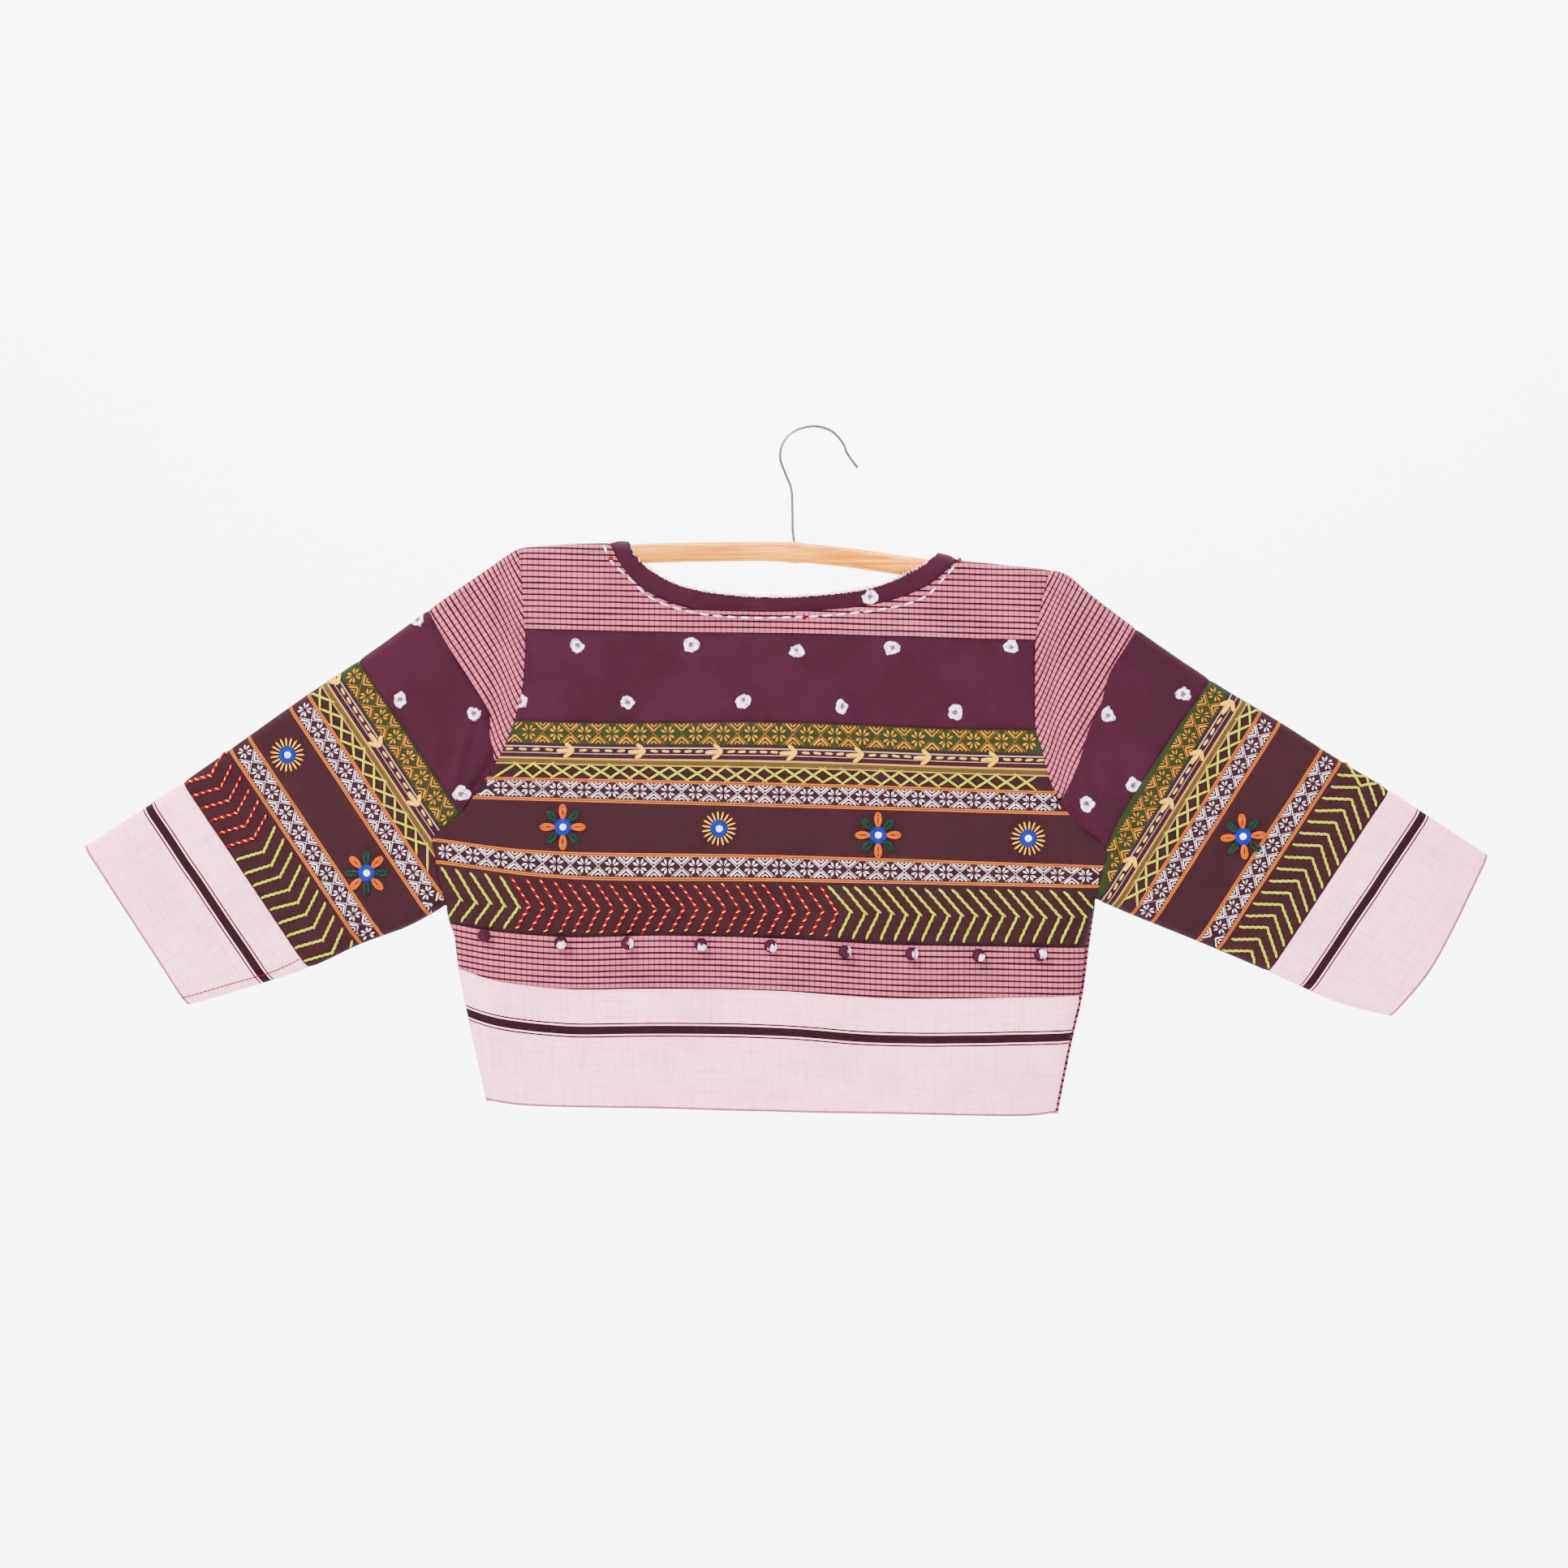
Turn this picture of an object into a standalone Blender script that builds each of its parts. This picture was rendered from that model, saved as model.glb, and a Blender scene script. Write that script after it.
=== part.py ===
"""Choli blouse hanging on a wooden hanger.

The back faces -Y and the front faces +Y. The blouse hangs flat, so its back and its front are two
layers that meet along folded edges: shoulders, sleeve tops, sleeve undersides and side seams. Each
cut piece is a patch of one layer, or a sleeve tube that runs round both. A patch is drawn flat in X
and Z between four edges, then lifted to the layer's depth and given a wall.

Sizes are in millimetres and the meshes are in metres. The origin is the underside of the hook's
top, where it bears on what holds it. Left is the wearer's left, at -X.
"""

import math

import bmesh
import bpy
import numpy as np

MM = 0.001

# Cloth
WALL = 1.2
HALF_GAP = 0.2  # each piece stops this far from its seam line
BINDING_RISE = 0.4
BINDING_WIDTH = 10.0
MIDDLE_X = -28.0
BODY_HALF_WIDTH = 215.0
SLEEVE_BLEND = 120.0
SLEEVE_DEPTH = 8.7
FRONT_SCOOP = 5.0  # the front armholes are cut this much deeper than the back ones
FRONT_HEM_DROP = 1.5
FRONT_SIDE_TURN = 1.5  # the front shows this much past the back at the right side seam
PLACKET_HALF = 12.0
PLACKET_STEP = 1.9
PLACKET_RAMP = 6.0
NECK_COLUMN_LEAST = 3.0  # the least space between a column of the neck and the placket
TIP_CUT = 0.12  # the part of its last stretch that a pointed piece loses, so its tip is blunt
LEAST_STEP = 0.8  # points on a line are kept at least this far apart
ROUNDING_MARGIN = 1.2  # the evenly spaced columns of a strip stop this many radii from its side
STRIP_STEPS = 22

# Hanger
ROD_RADIUS = 7.0
ROD_SIDES = 14
ROD_JOINT_RISE = 0.8
ROD_JOINT_WIDTH = 3.5
ROD_JOINT_CLEAR = 7.7  # other rings of the rod keep this far from the middle of its joint
WIRE_RADIUS = 1.0
WIRE_HOLE_RADIUS = 1.35
WIRE_DEPTH_IN_ROD = 10.0
WIRE_HOLE_PLAY = 1.0  # the wire's hole is this much deeper than the wire goes
SHOULDER_RADIUS = 8.7  # the rod, a clearance of 0.5 and the wall

# Fabric balls
BALL_RADIUS = 4.8
BALL_GAP = 0.3

LEFT, RIGHT = 0, 1
BACK, FRONT = -1, 1

# Armhole seam of the back, from the shoulder to the underarm.
# Columns: name, left x, left z, right x, right z
ARMHOLE = (
    ("shoulder", -209.5, -85.0, 166.5, -100.5),
    ("blade", -207.5, -106.5, 160.5, -122.5),
    ("yoke_seam", -204.5, -143.5, 156.0, -151.5),
    ("chest", -205.0, -169.0, 155.5, -175.0),
    ("chest_low", -207.0, -189.0, 155.5, -195.0),
    ("gold_seam", -212.0, -208.0, 156.0, -214.5),
    ("turn_1", -217.0, -221.5, 160.0, -227.5),
    ("turn_2", -225.5, -238.5, 165.5, -249.0),
    ("turn_3", -236.5, -255.0, 173.0, -265.0),
    ("turn_4", -250.5, -273.5, 185.0, -280.5),
    ("turn_5", -268.5, -289.5, 205.0, -299.0),
    ("turn_6", -267.5, -304.5, 202.5, -315.0),
    ("underarm", -261.5, -339.0, 199.5, -334.5),
)
# The armhole points where the sleeve's checked cap and its bandhani strip end: left, right
CAP_TIP = ("turn_2", "turn_3")
BANDHANI_TIP = ("turn_4", "turn_5")

# Folded edges, as points (x, z). The blouse lies on the left of each as its points run.
SHOULDER_LEFT = ((-131.5, -81.0), (-144.0, -81.5), (-173.5, -82.5), (-209.5, -85.0))
SHOULDER_RIGHT = ((166.5, -100.5), (146.5, -98.5), (123.5, -96.0), (100.5, -93.5), (87.5, -89.0))
SLEEVE_TOP_LEFT = (
    (-209.5, -85.0), (-219.5, -91.5), (-231.0, -99.5), (-273.5, -129.0),
    (-323.0, -165.0), (-368.0, -195.0), (-447.0, -251.0), (-516.5, -296.5),
)
SLEEVE_TOP_RIGHT = (
    (476.5, -302.5), (406.5, -256.5), (375.0, -237.5), (329.0, -208.0), (280.0, -178.5),
    (228.0, -142.5), (197.5, -119.5), (179.5, -104.5), (166.5, -100.5),
)
SLEEVE_UNDER_LEFT = (
    (-443.5, -409.0), (-413.5, -400.5), (-358.5, -383.0), (-322.5, -366.5),
    (-288.0, -353.5), (-261.5, -339.0),
)
SLEEVE_UNDER_RIGHT = (
    (199.5, -334.5), (225.0, -345.5), (272.0, -364.5), (321.5, -385.5), (369.5, -407.0),
    (407.5, -417.0),
)
SIDE_LEFT = (
    (-261.5, -339.0), (-259.0, -351.0), (-255.5, -360.5), (-252.5, -383.5),
    (-243.5, -429.0), (-233.0, -476.0),
)
SIDE_RIGHT = (
    (170.5, -485.0), (180.5, -435.0), (188.0, -402.5), (192.5, -368.0), (199.5, -334.5),
)

# How far in from each edge the layers are still rounding apart
TOP_RADIUS = SHOULDER_RADIUS
UNDER_RADIUS = 13.0
SIDE_RADIUS = 24.0

# Seams across the back, as points (x, z) from left to right
YOKE_SEAM = ((-204.5, -143.5), (-116.5, -145.5), (-25.0, -146.5), (66.5, -149.0), (156.0, -151.5))
GOLD_SEAM = ((-212.0, -208.0), (-141.5, -209.5), (-25.0, -209.0), (89.0, -213.5), (156.0, -214.5))
BORDER_SEAM = (
    (-259.0, -351.0), (-221.0, -356.5), (-171.0, -360.0), (-103.5, -359.0),
    (-25.0, -361.0), (57.0, -365.5), (127.0, -366.5), (192.5, -368.0),
)
WAIST_SEAM = (
    (-252.5, -383.5), (-221.0, -392.0), (-171.0, -397.5), (-103.5, -397.0),
    (-25.0, -398.5), (57.0, -404.0), (188.0, -402.5),
)
HEM = (
    (-233.0, -476.0), (-196.5, -480.0), (-116.5, -481.5), (-25.0, -484.0),
    (55.0, -485.5), (140.5, -487.0), (170.5, -485.0),
)

# Neck edges, as points (x, z) from left to right: where the binding is sewn, and its free edge
BACK_NECK_SEAM = (
    (-144.0, -81.5), (-135.0, -99.0), (-116.5, -116.5), (-88.0, -127.5), (-48.0, -130.0),
    (-2.5, -129.5), (43.5, -124.5), (77.5, -112.5), (100.5, -93.5),
)
BACK_NECK_EDGE = (
    (-131.5, -81.0), (-122.5, -96.0), (-99.5, -110.5), (-71.0, -117.5), (-31.0, -120.5),
    (9.0, -118.5), (43.5, -113.0), (72.0, -100.5), (87.5, -89.0),
)
FRONT_NECK_SEAM = (
    (-144.0, -81.5), (-138.0, -112.0), (-123.0, -150.0), (-97.0, -186.0), (-62.0, -210.0),
    (-28.0, -217.0), (12.0, -211.0), (48.0, -190.0), (75.0, -157.0), (91.0, -122.0),
    (100.5, -93.5),
)
FRONT_NECK_EDGE = (
    (-131.5, -81.0), (-127.0, -110.0), (-112.5, -146.0), (-88.5, -178.5), (-57.0, -200.0),
    (-28.0, -206.5), (8.0, -201.0), (40.0, -182.5), (65.0, -152.5), (80.5, -120.0),
    (87.5, -89.0),
)

# Sleeve seams, as points (x, z) from the sleeve's top edge down: left, right
CAP_SEAM = (
    (
        (-273.5, -129.0), (-262.5, -149.0), (-251.0, -169.0), (-239.5, -186.5),
        (-229.5, -202.5), (-229.0, -217.5), (-225.5, -238.5),
    ),
    (
        (228.0, -142.5), (219.5, -156.0), (208.0, -175.0), (201.5, -197.5),
        (193.5, -213.5), (184.5, -241.5), (173.0, -265.0),
    ),
)
GOLD_SLEEVE_SEAM = (
    ((-323.0, -165.0), (-255.5, -264.5), (-250.5, -273.5)),
    ((280.0, -178.5), (249.0, -223.5), (217.5, -272.0), (205.0, -299.0)),
)
SLEEVE_HEM_SEAM = (
    ((-447.0, -251.0), (-358.5, -383.0)),
    ((406.5, -256.5), (321.5, -385.5)),
)
CUFF = (
    ((-516.5, -296.5), (-482.5, -349.0), (-443.5, -409.0)),
    ((476.5, -302.5), (438.5, -378.5), (407.5, -417.0)),
)

# Depth of each layer off the middle plane, by height. Columns: z, back, front
DEPTHS = (
    (-60.0, 8.7, 8.7),
    (-122.0, 8.7, 8.7),
    (-180.0, 10.0, 10.5),
    (-270.0, 13.5, 12.5),
    (-380.0, 12.5, 10.5),
    (-490.0, 10.0, 8.5),
)

# The largest folds. Columns: layer, start x, start z, end x, end z, half width, height (- is a trough)
FOLDS = (
    (BACK, -222.0, -95.0, -240.0, -262.0, 9.0, 3.2),
    (BACK, -215.0, -120.0, -222.0, -235.0, 5.0, -2.2),
    (BACK, 178.0, -112.0, 190.0, -278.0, 9.0, 3.0),
    (BACK, 168.0, -130.0, 172.0, -250.0, 5.0, -2.0),
    (BACK, -268.0, -300.0, -205.0, -352.0, 12.0, 2.0),
    (BACK, 204.0, -306.0, 150.0, -352.0, 12.0, 2.0),
    (BACK, -222.0, -350.0, -214.0, -470.0, 14.0, 2.2),
    (BACK, -140.0, -352.0, -146.0, -478.0, 16.0, -1.8),
    (BACK, 62.0, -356.0, 60.0, -482.0, 18.0, -1.8),
    (BACK, -330.0, -250.0, -300.0, -345.0, 14.0, 1.8),
    (BACK, 300.0, -250.0, 262.0, -350.0, 14.0, 1.8),
    (FRONT, -222.0, -98.0, -238.0, -262.0, 9.0, 3.0),
    (FRONT, 178.0, -114.0, 188.0, -278.0, 9.0, 2.8),
    (FRONT, -170.0, -300.0, -120.0, -470.0, 18.0, 2.4),
    (FRONT, 110.0, -300.0, 66.0, -470.0, 18.0, 2.4),
    (FRONT, -200.0, -345.0, -196.0, -470.0, 14.0, -1.8),
    (FRONT, 140.0, -350.0, 132.0, -470.0, 14.0, -1.8),
    (FRONT, 310.0, -260.0, 270.0, -352.0, 14.0, 1.8),
    (FRONT, -340.0, -255.0, -306.0, -348.0, 14.0, 1.8),
)

# Fabric balls along the border seam: centre x, centre z
BALLS = (
    (-232.5, -359.0), (-178.5, -364.0), (-131.5, -364.5), (-80.0, -365.5), (-31.0, -366.5),
    (21.0, -370.5), (68.0, -372.0), (115.0, -373.0), (158.5, -372.5),
)

# Centre line of the wooden rod and of the hook's wire, as points (x, z)
ROD_LINE = (
    (-203.0, -93.4), (-173.5, -91.2), (-144.0, -90.2), (-100.0, -88.6), (-48.0, -87.8),
    (-15.0, -88.5), (26.5, -92.5), (80.5, -100.4), (100.5, -102.4), (123.5, -104.7),
    (146.5, -107.3), (161.0, -108.7),
)
HOOK_LINE = (
    (-14.5, -81.5), (-15.5, -72.0), (-15.7, -59.5), (-16.5, -43.5), (-21.0, -32.0),
    (-24.5, -20.5), (-21.5, -9.0), (-13.0, -1.8), (0.0, 1.0), (12.0, -2.5), (20.0, -11.0),
    (23.5, -19.0), (30.5, -28.5),
)

# Colours, as sRGB
CHECK_PINK = (0.79, 0.53, 0.59)
BANDHANI_PURPLE = (0.35, 0.16, 0.26)
BORDER_MAROON = (0.31, 0.17, 0.20)
HEM_PINK = (0.90, 0.83, 0.85)
WOOD_HONEY = (0.88, 0.68, 0.38)
STEEL_GREY = (0.52, 0.50, 0.47)


def linear(colour):
    """The colour as linear light, with full opacity."""
    return tuple(((c + 0.055) / 1.055) ** 2.4 if c > 0.04 else c / 12.92 for c in colour) + (1.0,)


def material(name, colour, roughness, metallic=0.0):
    made = bpy.data.materials.new(name)
    made.use_nodes = True
    shader = made.node_tree.nodes["Principled BSDF"]
    shader.inputs["Base Color"].default_value = linear(colour)
    shader.inputs["Roughness"].default_value = roughness
    shader.inputs["Metallic"].default_value = metallic
    made.diffuse_color = linear(colour)
    return made


# Curves in the flat X-Z plane


def smooth_line(points, steps):
    """A curve through the points, each stretch cut in steps: Catmull-Rom, whose tangent at a point is
    half the way between its two neighbours."""
    points = np.array(points, float)
    padded = np.vstack([2 * points[0] - points[1], points, 2 * points[-1] - points[-2]])
    t = np.linspace(0, 1, steps, endpoint=False)[:, None]
    parts = []
    for i in range(len(points) - 1):
        a, b, c, d = padded[i : i + 4]
        parts.append(
            0.5 * (2 * b + (c - a) * t + (2 * a - 5 * b + 4 * c - d) * t**2 + (3 * b - a - 3 * c + d) * t**3)
        )
    return np.vstack(parts + [points[-1:]])


def lengths(line):
    """The distance along the line of each of its points."""
    steps = np.linalg.norm(np.diff(line, axis=0), axis=1)
    return np.concatenate([[0.0], np.cumsum(steps)])


def at_distances(line, distances):
    """The points at these distances along the line."""
    line = np.array(line, float)
    along = lengths(line)
    return np.stack([np.interp(distances, along, line[:, k]) for k in range(line.shape[1])], 1)


def at_fractions(line, fractions):
    line = np.array(line, float)
    return at_distances(line, np.array(fractions) * lengths(line)[-1])


def at_columns(line, xs):
    """The points of a line that runs along X, at these values of x."""
    line = np.array(sorted(map(tuple, line)))
    return np.stack([xs, np.interp(xs, line[:, 0], line[:, 1])], 1)


def rounding(radius):
    """Distances in from a folded edge at which its rounding is cut: a quarter circle in three."""
    return radius * (1 - np.cos(np.radians([30.0, 60.0, 90.0])))


def with_rounding(line, start=0.0, end=0.0):
    """The line with extra points near an end that lies on a folded edge."""
    line = np.array(line, float)
    along = lengths(line)
    marks = list(along)
    if start:
        marks += list(rounding(start))
    if end:
        marks += list(along[-1] - rounding(end))
    marks = np.array(sorted(marks))
    keep = np.concatenate([[True], np.diff(marks) > LEAST_STEP])
    return at_distances(line, marks[keep])


# The armholes


def outward(side):
    """Which way along X leads away from the middle."""
    return -1 if side == LEFT else 1


def armhole(side, layer):
    """The armhole seam with its rounding points, and the place of each named point in it."""
    points = np.array([row[1 + 2 * side : 3 + 2 * side] for row in ARMHOLE], float)
    along = lengths(points)
    top_marks = rounding(TOP_RADIUS)
    low_marks = along[-1] - rounding(SIDE_RADIUS)[::-1]
    marks = np.array(sorted(list(along) + list(top_marks) + list(low_marks)))
    line = at_distances(points, marks)
    if layer == FRONT:
        line[:, 0] -= outward(side) * FRONT_SCOOP * np.sin(math.pi * marks / along[-1])
    places = {row[0]: int(np.argmin(abs(marks - along[i]))) for i, row in enumerate(ARMHOLE)}
    return line, places


def armhole_between(side, layer, first, last):
    line, places = armhole(side, layer)
    return line[places[first] : places[last] + 1]


# From the flat plane to the hanging layers


def fold_edges(layer):
    """The folded edges of a layer, each with the distance over which it rounds."""
    turn = FRONT_SIDE_TURN if layer == FRONT else 0.0
    side_right = [(x + turn, z) for x, z in SIDE_RIGHT]
    side_right[-1] = SIDE_RIGHT[-1]
    return (
        (SHOULDER_LEFT + SLEEVE_TOP_LEFT[1:], TOP_RADIUS),
        (SLEEVE_UNDER_LEFT, UNDER_RADIUS),
        (SIDE_LEFT, SIDE_RADIUS),
        (side_right, SIDE_RADIUS),
        (SLEEVE_UNDER_RIGHT, UNDER_RADIUS),
        (SLEEVE_TOP_RIGHT + SHOULDER_RIGHT[1:], TOP_RADIUS),
    )


def edge_places(points, layer):
    """For each point, how far in from the nearest folded edge it lies, as a part of that edge's
    rounding, and the inward direction of the edge there."""
    best = np.full(len(points), np.inf)
    inward = np.zeros((len(points), 2))
    for line, radius in fold_edges(layer):
        line = np.array(line, float)
        steps = np.diff(line, axis=0)
        sides = np.stack([-steps[:, 1], steps[:, 0]], 1)
        sides /= np.linalg.norm(sides, axis=1, keepdims=True)
        corners = np.vstack([sides[:1], sides[:-1] + sides[1:], sides[-1:]])
        corners /= np.linalg.norm(corners, axis=1, keepdims=True)
        for start, step, first, last in zip(line[:-1], steps, corners[:-1], corners[1:]):
            u = np.clip(((points - start) @ step) / (step @ step), 0, 1)[:, None]
            part = np.linalg.norm(points - start - u * step, axis=1) / radius
            nearer = part < best
            best[nearer] = part[nearer]
            inward[nearer] = (first + u * (last - first))[nearer]
    inward /= np.linalg.norm(inward, axis=1, keepdims=True)
    return best, inward


def smooth_step(t):
    t = np.clip(t, 0, 1)
    return t * t * (3 - 2 * t)


def depth(points, layer):
    """How far the layer stands off the middle plane away from its edges."""
    table = np.array(DEPTHS)[::-1]
    column = 1 if layer == BACK else 2
    body = np.interp(points[:, 1], table[:, 0], table[:, column])
    out = smooth_step((abs(points[:, 0] - MIDDLE_X) - BODY_HALF_WIDTH) / SLEEVE_BLEND)
    total = body + (SLEEVE_DEPTH - body) * out
    for fold_layer, x0, z0, x1, z1, width, height in FOLDS:
        if fold_layer != layer:
            continue
        start = np.array((x0, z0))
        step = np.array((x1, z1)) - start
        along = ((points - start) @ step) / (step @ step)
        across = (points - start) @ np.array((-step[1], step[0])) / np.linalg.norm(step)
        total += height * np.exp(-((across / width) ** 2)) * np.sin(math.pi * np.clip(along, 0, 1))
    return total


def lift(grid, layer, rise=0.0, least=0.0):
    """The outer and inner points of a patch. A point at the part t of an edge's rounding stands off the
    middle plane by depth * sqrt(1 - (1 - t)**2), and the wall turns in from the edge as that arc does."""
    flat = grid.reshape(-1, 2)
    part, inward = edge_places(flat, layer)
    turn = 1 - np.clip(part, 0, 1)
    level = np.sqrt(1 - turn**2)
    rise = np.broadcast_to(rise, grid.shape[:2]).reshape(-1)
    stand = depth(flat, layer) * level
    faces = []
    for off in (rise, rise - WALL):
        moved = flat - inward * (turn * off)[:, None]
        y = np.maximum(stand + level * off, least)
        faces.append(np.stack([moved[:, 0], layer * y, moved[:, 1]], 1).reshape(*grid.shape[:2], 3))
    return faces


def coons(left, right, top, bottom, across, down):
    """A flat grid between four edges: the blend of the two sides, plus the blend of the top and bottom,
    less the blend of the four corners. Rows run down the sides and columns run across."""
    u = across[None, :, None]
    v = down[:, None, None]
    sides = (1 - u) * left[:, None] + u * right[:, None]
    ends = (1 - v) * top[None] + v * bottom[None]
    corners = (1 - u) * ((1 - v) * left[0] + v * left[-1]) + u * ((1 - v) * right[0] + v * right[-1])
    return sides + ends - corners


def fractions(line):
    along = lengths(np.array(line, float))
    return along / along[-1]


# Meshes


def finished(name, verts, faces, look):
    mesh = bpy.data.meshes.new(name)
    mesh.from_pydata([tuple(v) for v in np.array(verts) * MM], [], [tuple(f) for f in faces])
    mesh.materials.append(look)
    mesh.shade_smooth()
    mesh.set_sharp_from_angle(angle=math.radians(45))
    mesh.validate()
    made = bpy.data.objects.new(name, mesh)
    bpy.context.collection.objects.link(made)
    return made


def volume(verts, faces):
    """The signed volume inside four-sided faces, each cut in two triangles."""
    a, b, c, d = (verts[faces[:, k]] for k in range(4))
    return np.einsum("ij,ij->", a, np.cross(b, c)) + np.einsum("ij,ij->", a, np.cross(c, d))


def wall(name, outer, inner, look, ring=False):
    """A closed wall between an outer and an inner grid of points. A ring joins its last column to its
    first one."""
    rows, columns = outer.shape[:2]
    verts = np.vstack([outer.reshape(-1, 3), inner.reshape(-1, 3)])
    index = np.arange(2 * rows * columns).reshape(2, rows, columns)
    if ring:
        index = np.concatenate([index, index[:, :, :1]], 2)

    def quads(a, b):
        """Faces between two lines of points, or two grids' neighbouring lines."""
        return np.stack([a[..., :-1], b[..., :-1], b[..., 1:], a[..., 1:]], -1).reshape(-1, 4)

    over, under = index
    parts = [quads(over[:-1], over[1:]), quads(under[1:], under[:-1])]
    parts += [quads(under[:1], over[:1]), quads(over[-1:], under[-1:])]
    if not ring:
        parts += [quads(over[:, :1].T, under[:, :1].T), quads(under[:, -1:].T, over[:, -1:].T)]
    faces = np.vstack(parts)
    if volume(verts, faces) < 0:
        faces = faces[:, ::-1]
    return finished(name, verts, faces, look)


def parted(grid, top=HALF_GAP):
    """The grid with its edges drawn in, to leave the gap at each seam."""
    grid = grid.copy()
    grid[0, :, 1] -= top
    grid[-1, :, 1] += HALF_GAP
    grid[:, 0, 0] += HALF_GAP
    grid[:, -1, 0] -= HALF_GAP
    return grid


def patch(name, layer, grid, look, rise=0.0):
    outer, inner = lift(grid, layer, rise, least=HALF_GAP)
    return wall(name, outer, inner, look)


# The back


def columns_between(left, right, radius=0.0):
    """Values of x from left to right, closer together where a side rounds."""
    xs = list(np.linspace(left, right, STRIP_STEPS + 1))
    if radius:
        margin = radius * ROUNDING_MARGIN
        xs = [x for x in xs if left + margin < x < right - margin]
        xs += [left, right] + list(left + rounding(radius)) + list(right - rounding(radius))
    return np.array(sorted(xs))


def back_strip(name, left, right, top, bottom, look, radius=0.0):
    """A strip across the back, between an upper and a lower seam."""
    top_xs = columns_between(left[0, 0], right[0, 0], radius)
    part = (top_xs - top_xs[0]) / (top_xs[-1] - top_xs[0])
    bottom_xs = left[-1, 0] + part * (right[-1, 0] - left[-1, 0])
    grid = coons(
        left,
        right,
        at_columns(top, top_xs),
        at_columns(bottom, bottom_xs),
        part,
        (fractions(left) + fractions(right)) / 2,
    )
    return patch(name, BACK, parted(grid), look)


def back_yoke(look):
    left = armhole_between(LEFT, BACK, "shoulder", "yoke_seam")
    right = armhole_between(RIGHT, BACK, "shoulder", "yoke_seam")
    neck = neck_line(BACK_NECK_SEAM)
    shoulder_left = at_columns(SHOULDER_LEFT, np.linspace(left[0, 0], neck[0, 0], 5))
    shoulder_right = at_columns(SHOULDER_RIGHT, np.linspace(neck[-1, 0], right[0, 0], 5))
    top = np.vstack([shoulder_left[:-1], neck, shoulder_right[1:]])
    part = (top[:, 0] - top[0, 0]) / (top[-1, 0] - top[0, 0])
    bottom = at_columns(YOKE_SEAM, left[-1, 0] + part * (right[-1, 0] - left[-1, 0]))
    down = (fractions(left) + fractions(right)) / 2
    grid = coons(left, right, top, bottom, part, down)
    return patch("back_yoke", BACK, parted(grid, top=0.0), look)


def neck_line(points):
    """A neck curve with the points where it rounds over the shoulders."""
    return with_rounding(smooth_line(points, 2), TOP_RADIUS, TOP_RADIUS)


def binding(name, layer, seam, edge, look, rise=BINDING_RISE):
    """A binding between the neck seam and the neck's free edge, in three rows."""
    seam_part = 2 * HALF_GAP / BINDING_WIDTH
    grid = np.stack([seam + (edge - seam) * part for part in (seam_part, 0.5, 1.0)])
    return patch(name, layer, grid, look, rise)


def back_pieces(checked, bandhani, border, hem):
    back_yoke(checked)
    back_strip(
        "back_bandhani",
        armhole_between(LEFT, BACK, "yoke_seam", "gold_seam"),
        armhole_between(RIGHT, BACK, "yoke_seam", "gold_seam"),
        YOKE_SEAM,
        GOLD_SEAM,
        bandhani,
    )
    side_left = np.array(SIDE_LEFT)
    side_right = np.array(SIDE_RIGHT)[::-1]
    border_left = armhole_between(LEFT, BACK, "gold_seam", "underarm")
    border_right = armhole_between(RIGHT, BACK, "gold_seam", "underarm")
    back_strip(
        "back_border",
        np.vstack([border_left, side_left[1:2]]),
        np.vstack([border_right, side_right[1:2]]),
        GOLD_SEAM,
        BORDER_SEAM,
        border,
        SIDE_RADIUS,
    )
    back_strip(
        "back_waist_band",
        at_fractions(side_left[1:4], (0.0, 0.5, 1.0)),
        at_fractions(side_right[1:3], (0.0, 0.5, 1.0)),
        BORDER_SEAM,
        WAIST_SEAM,
        checked,
        SIDE_RADIUS,
    )
    back_strip(
        "back_hem_band",
        at_fractions(side_left[3:], (0.0, 0.25, 0.5, 0.75, 1.0)),
        at_fractions(side_right[2:], (0.0, 0.25, 0.5, 0.75, 1.0)),
        WAIST_SEAM,
        HEM,
        hem,
        SIDE_RADIUS,
    )


# The front


def placket_columns(side):
    """Where a front's three columns at the placket hang: its ramp, its fold and its own edge, which
    passes the middle."""
    steps = np.array([PLACKET_HALF + PLACKET_RAMP, PLACKET_HALF, -PLACKET_HALF])
    return MIDDLE_X + outward(side) * steps


def front_neck(side):
    """One side of the front neck, as its seam and its free edge, from the shoulder to the placket."""
    seam = neck_line(FRONT_NECK_SEAM)
    edge = at_fractions(smooth_line(FRONT_NECK_EDGE, 8), fractions(seam))
    if side == RIGHT:
        seam, edge = seam[::-1], edge[::-1]
    xs = placket_columns(side)
    keep = (seam[:, 0] - xs[0]) * outward(side) > NECK_COLUMN_LEAST
    return [np.vstack([line[keep], at_columns(line, xs)]) for line in (seam, edge)]


def placket_rise(side, xs):
    """The right front lies over the left one at the middle."""
    start = placket_columns(RIGHT)[0]
    over = PLACKET_STEP * smooth_step((start - xs) / PLACKET_RAMP)
    return over if side == RIGHT else np.zeros_like(xs)


def front_outer_edge(side):
    """The armhole and the side seam of one front, from the shoulder to the hem."""
    hole, _ = armhole(side, FRONT)
    if side == LEFT:
        seam = np.array(SIDE_LEFT)[1:]
    else:
        seam = np.array(SIDE_RIGHT)[::-1][1:] + (FRONT_SIDE_TURN, 0.0)
    seam[-1, 1] -= FRONT_HEM_DROP
    return np.vstack([hole, seam])


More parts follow.
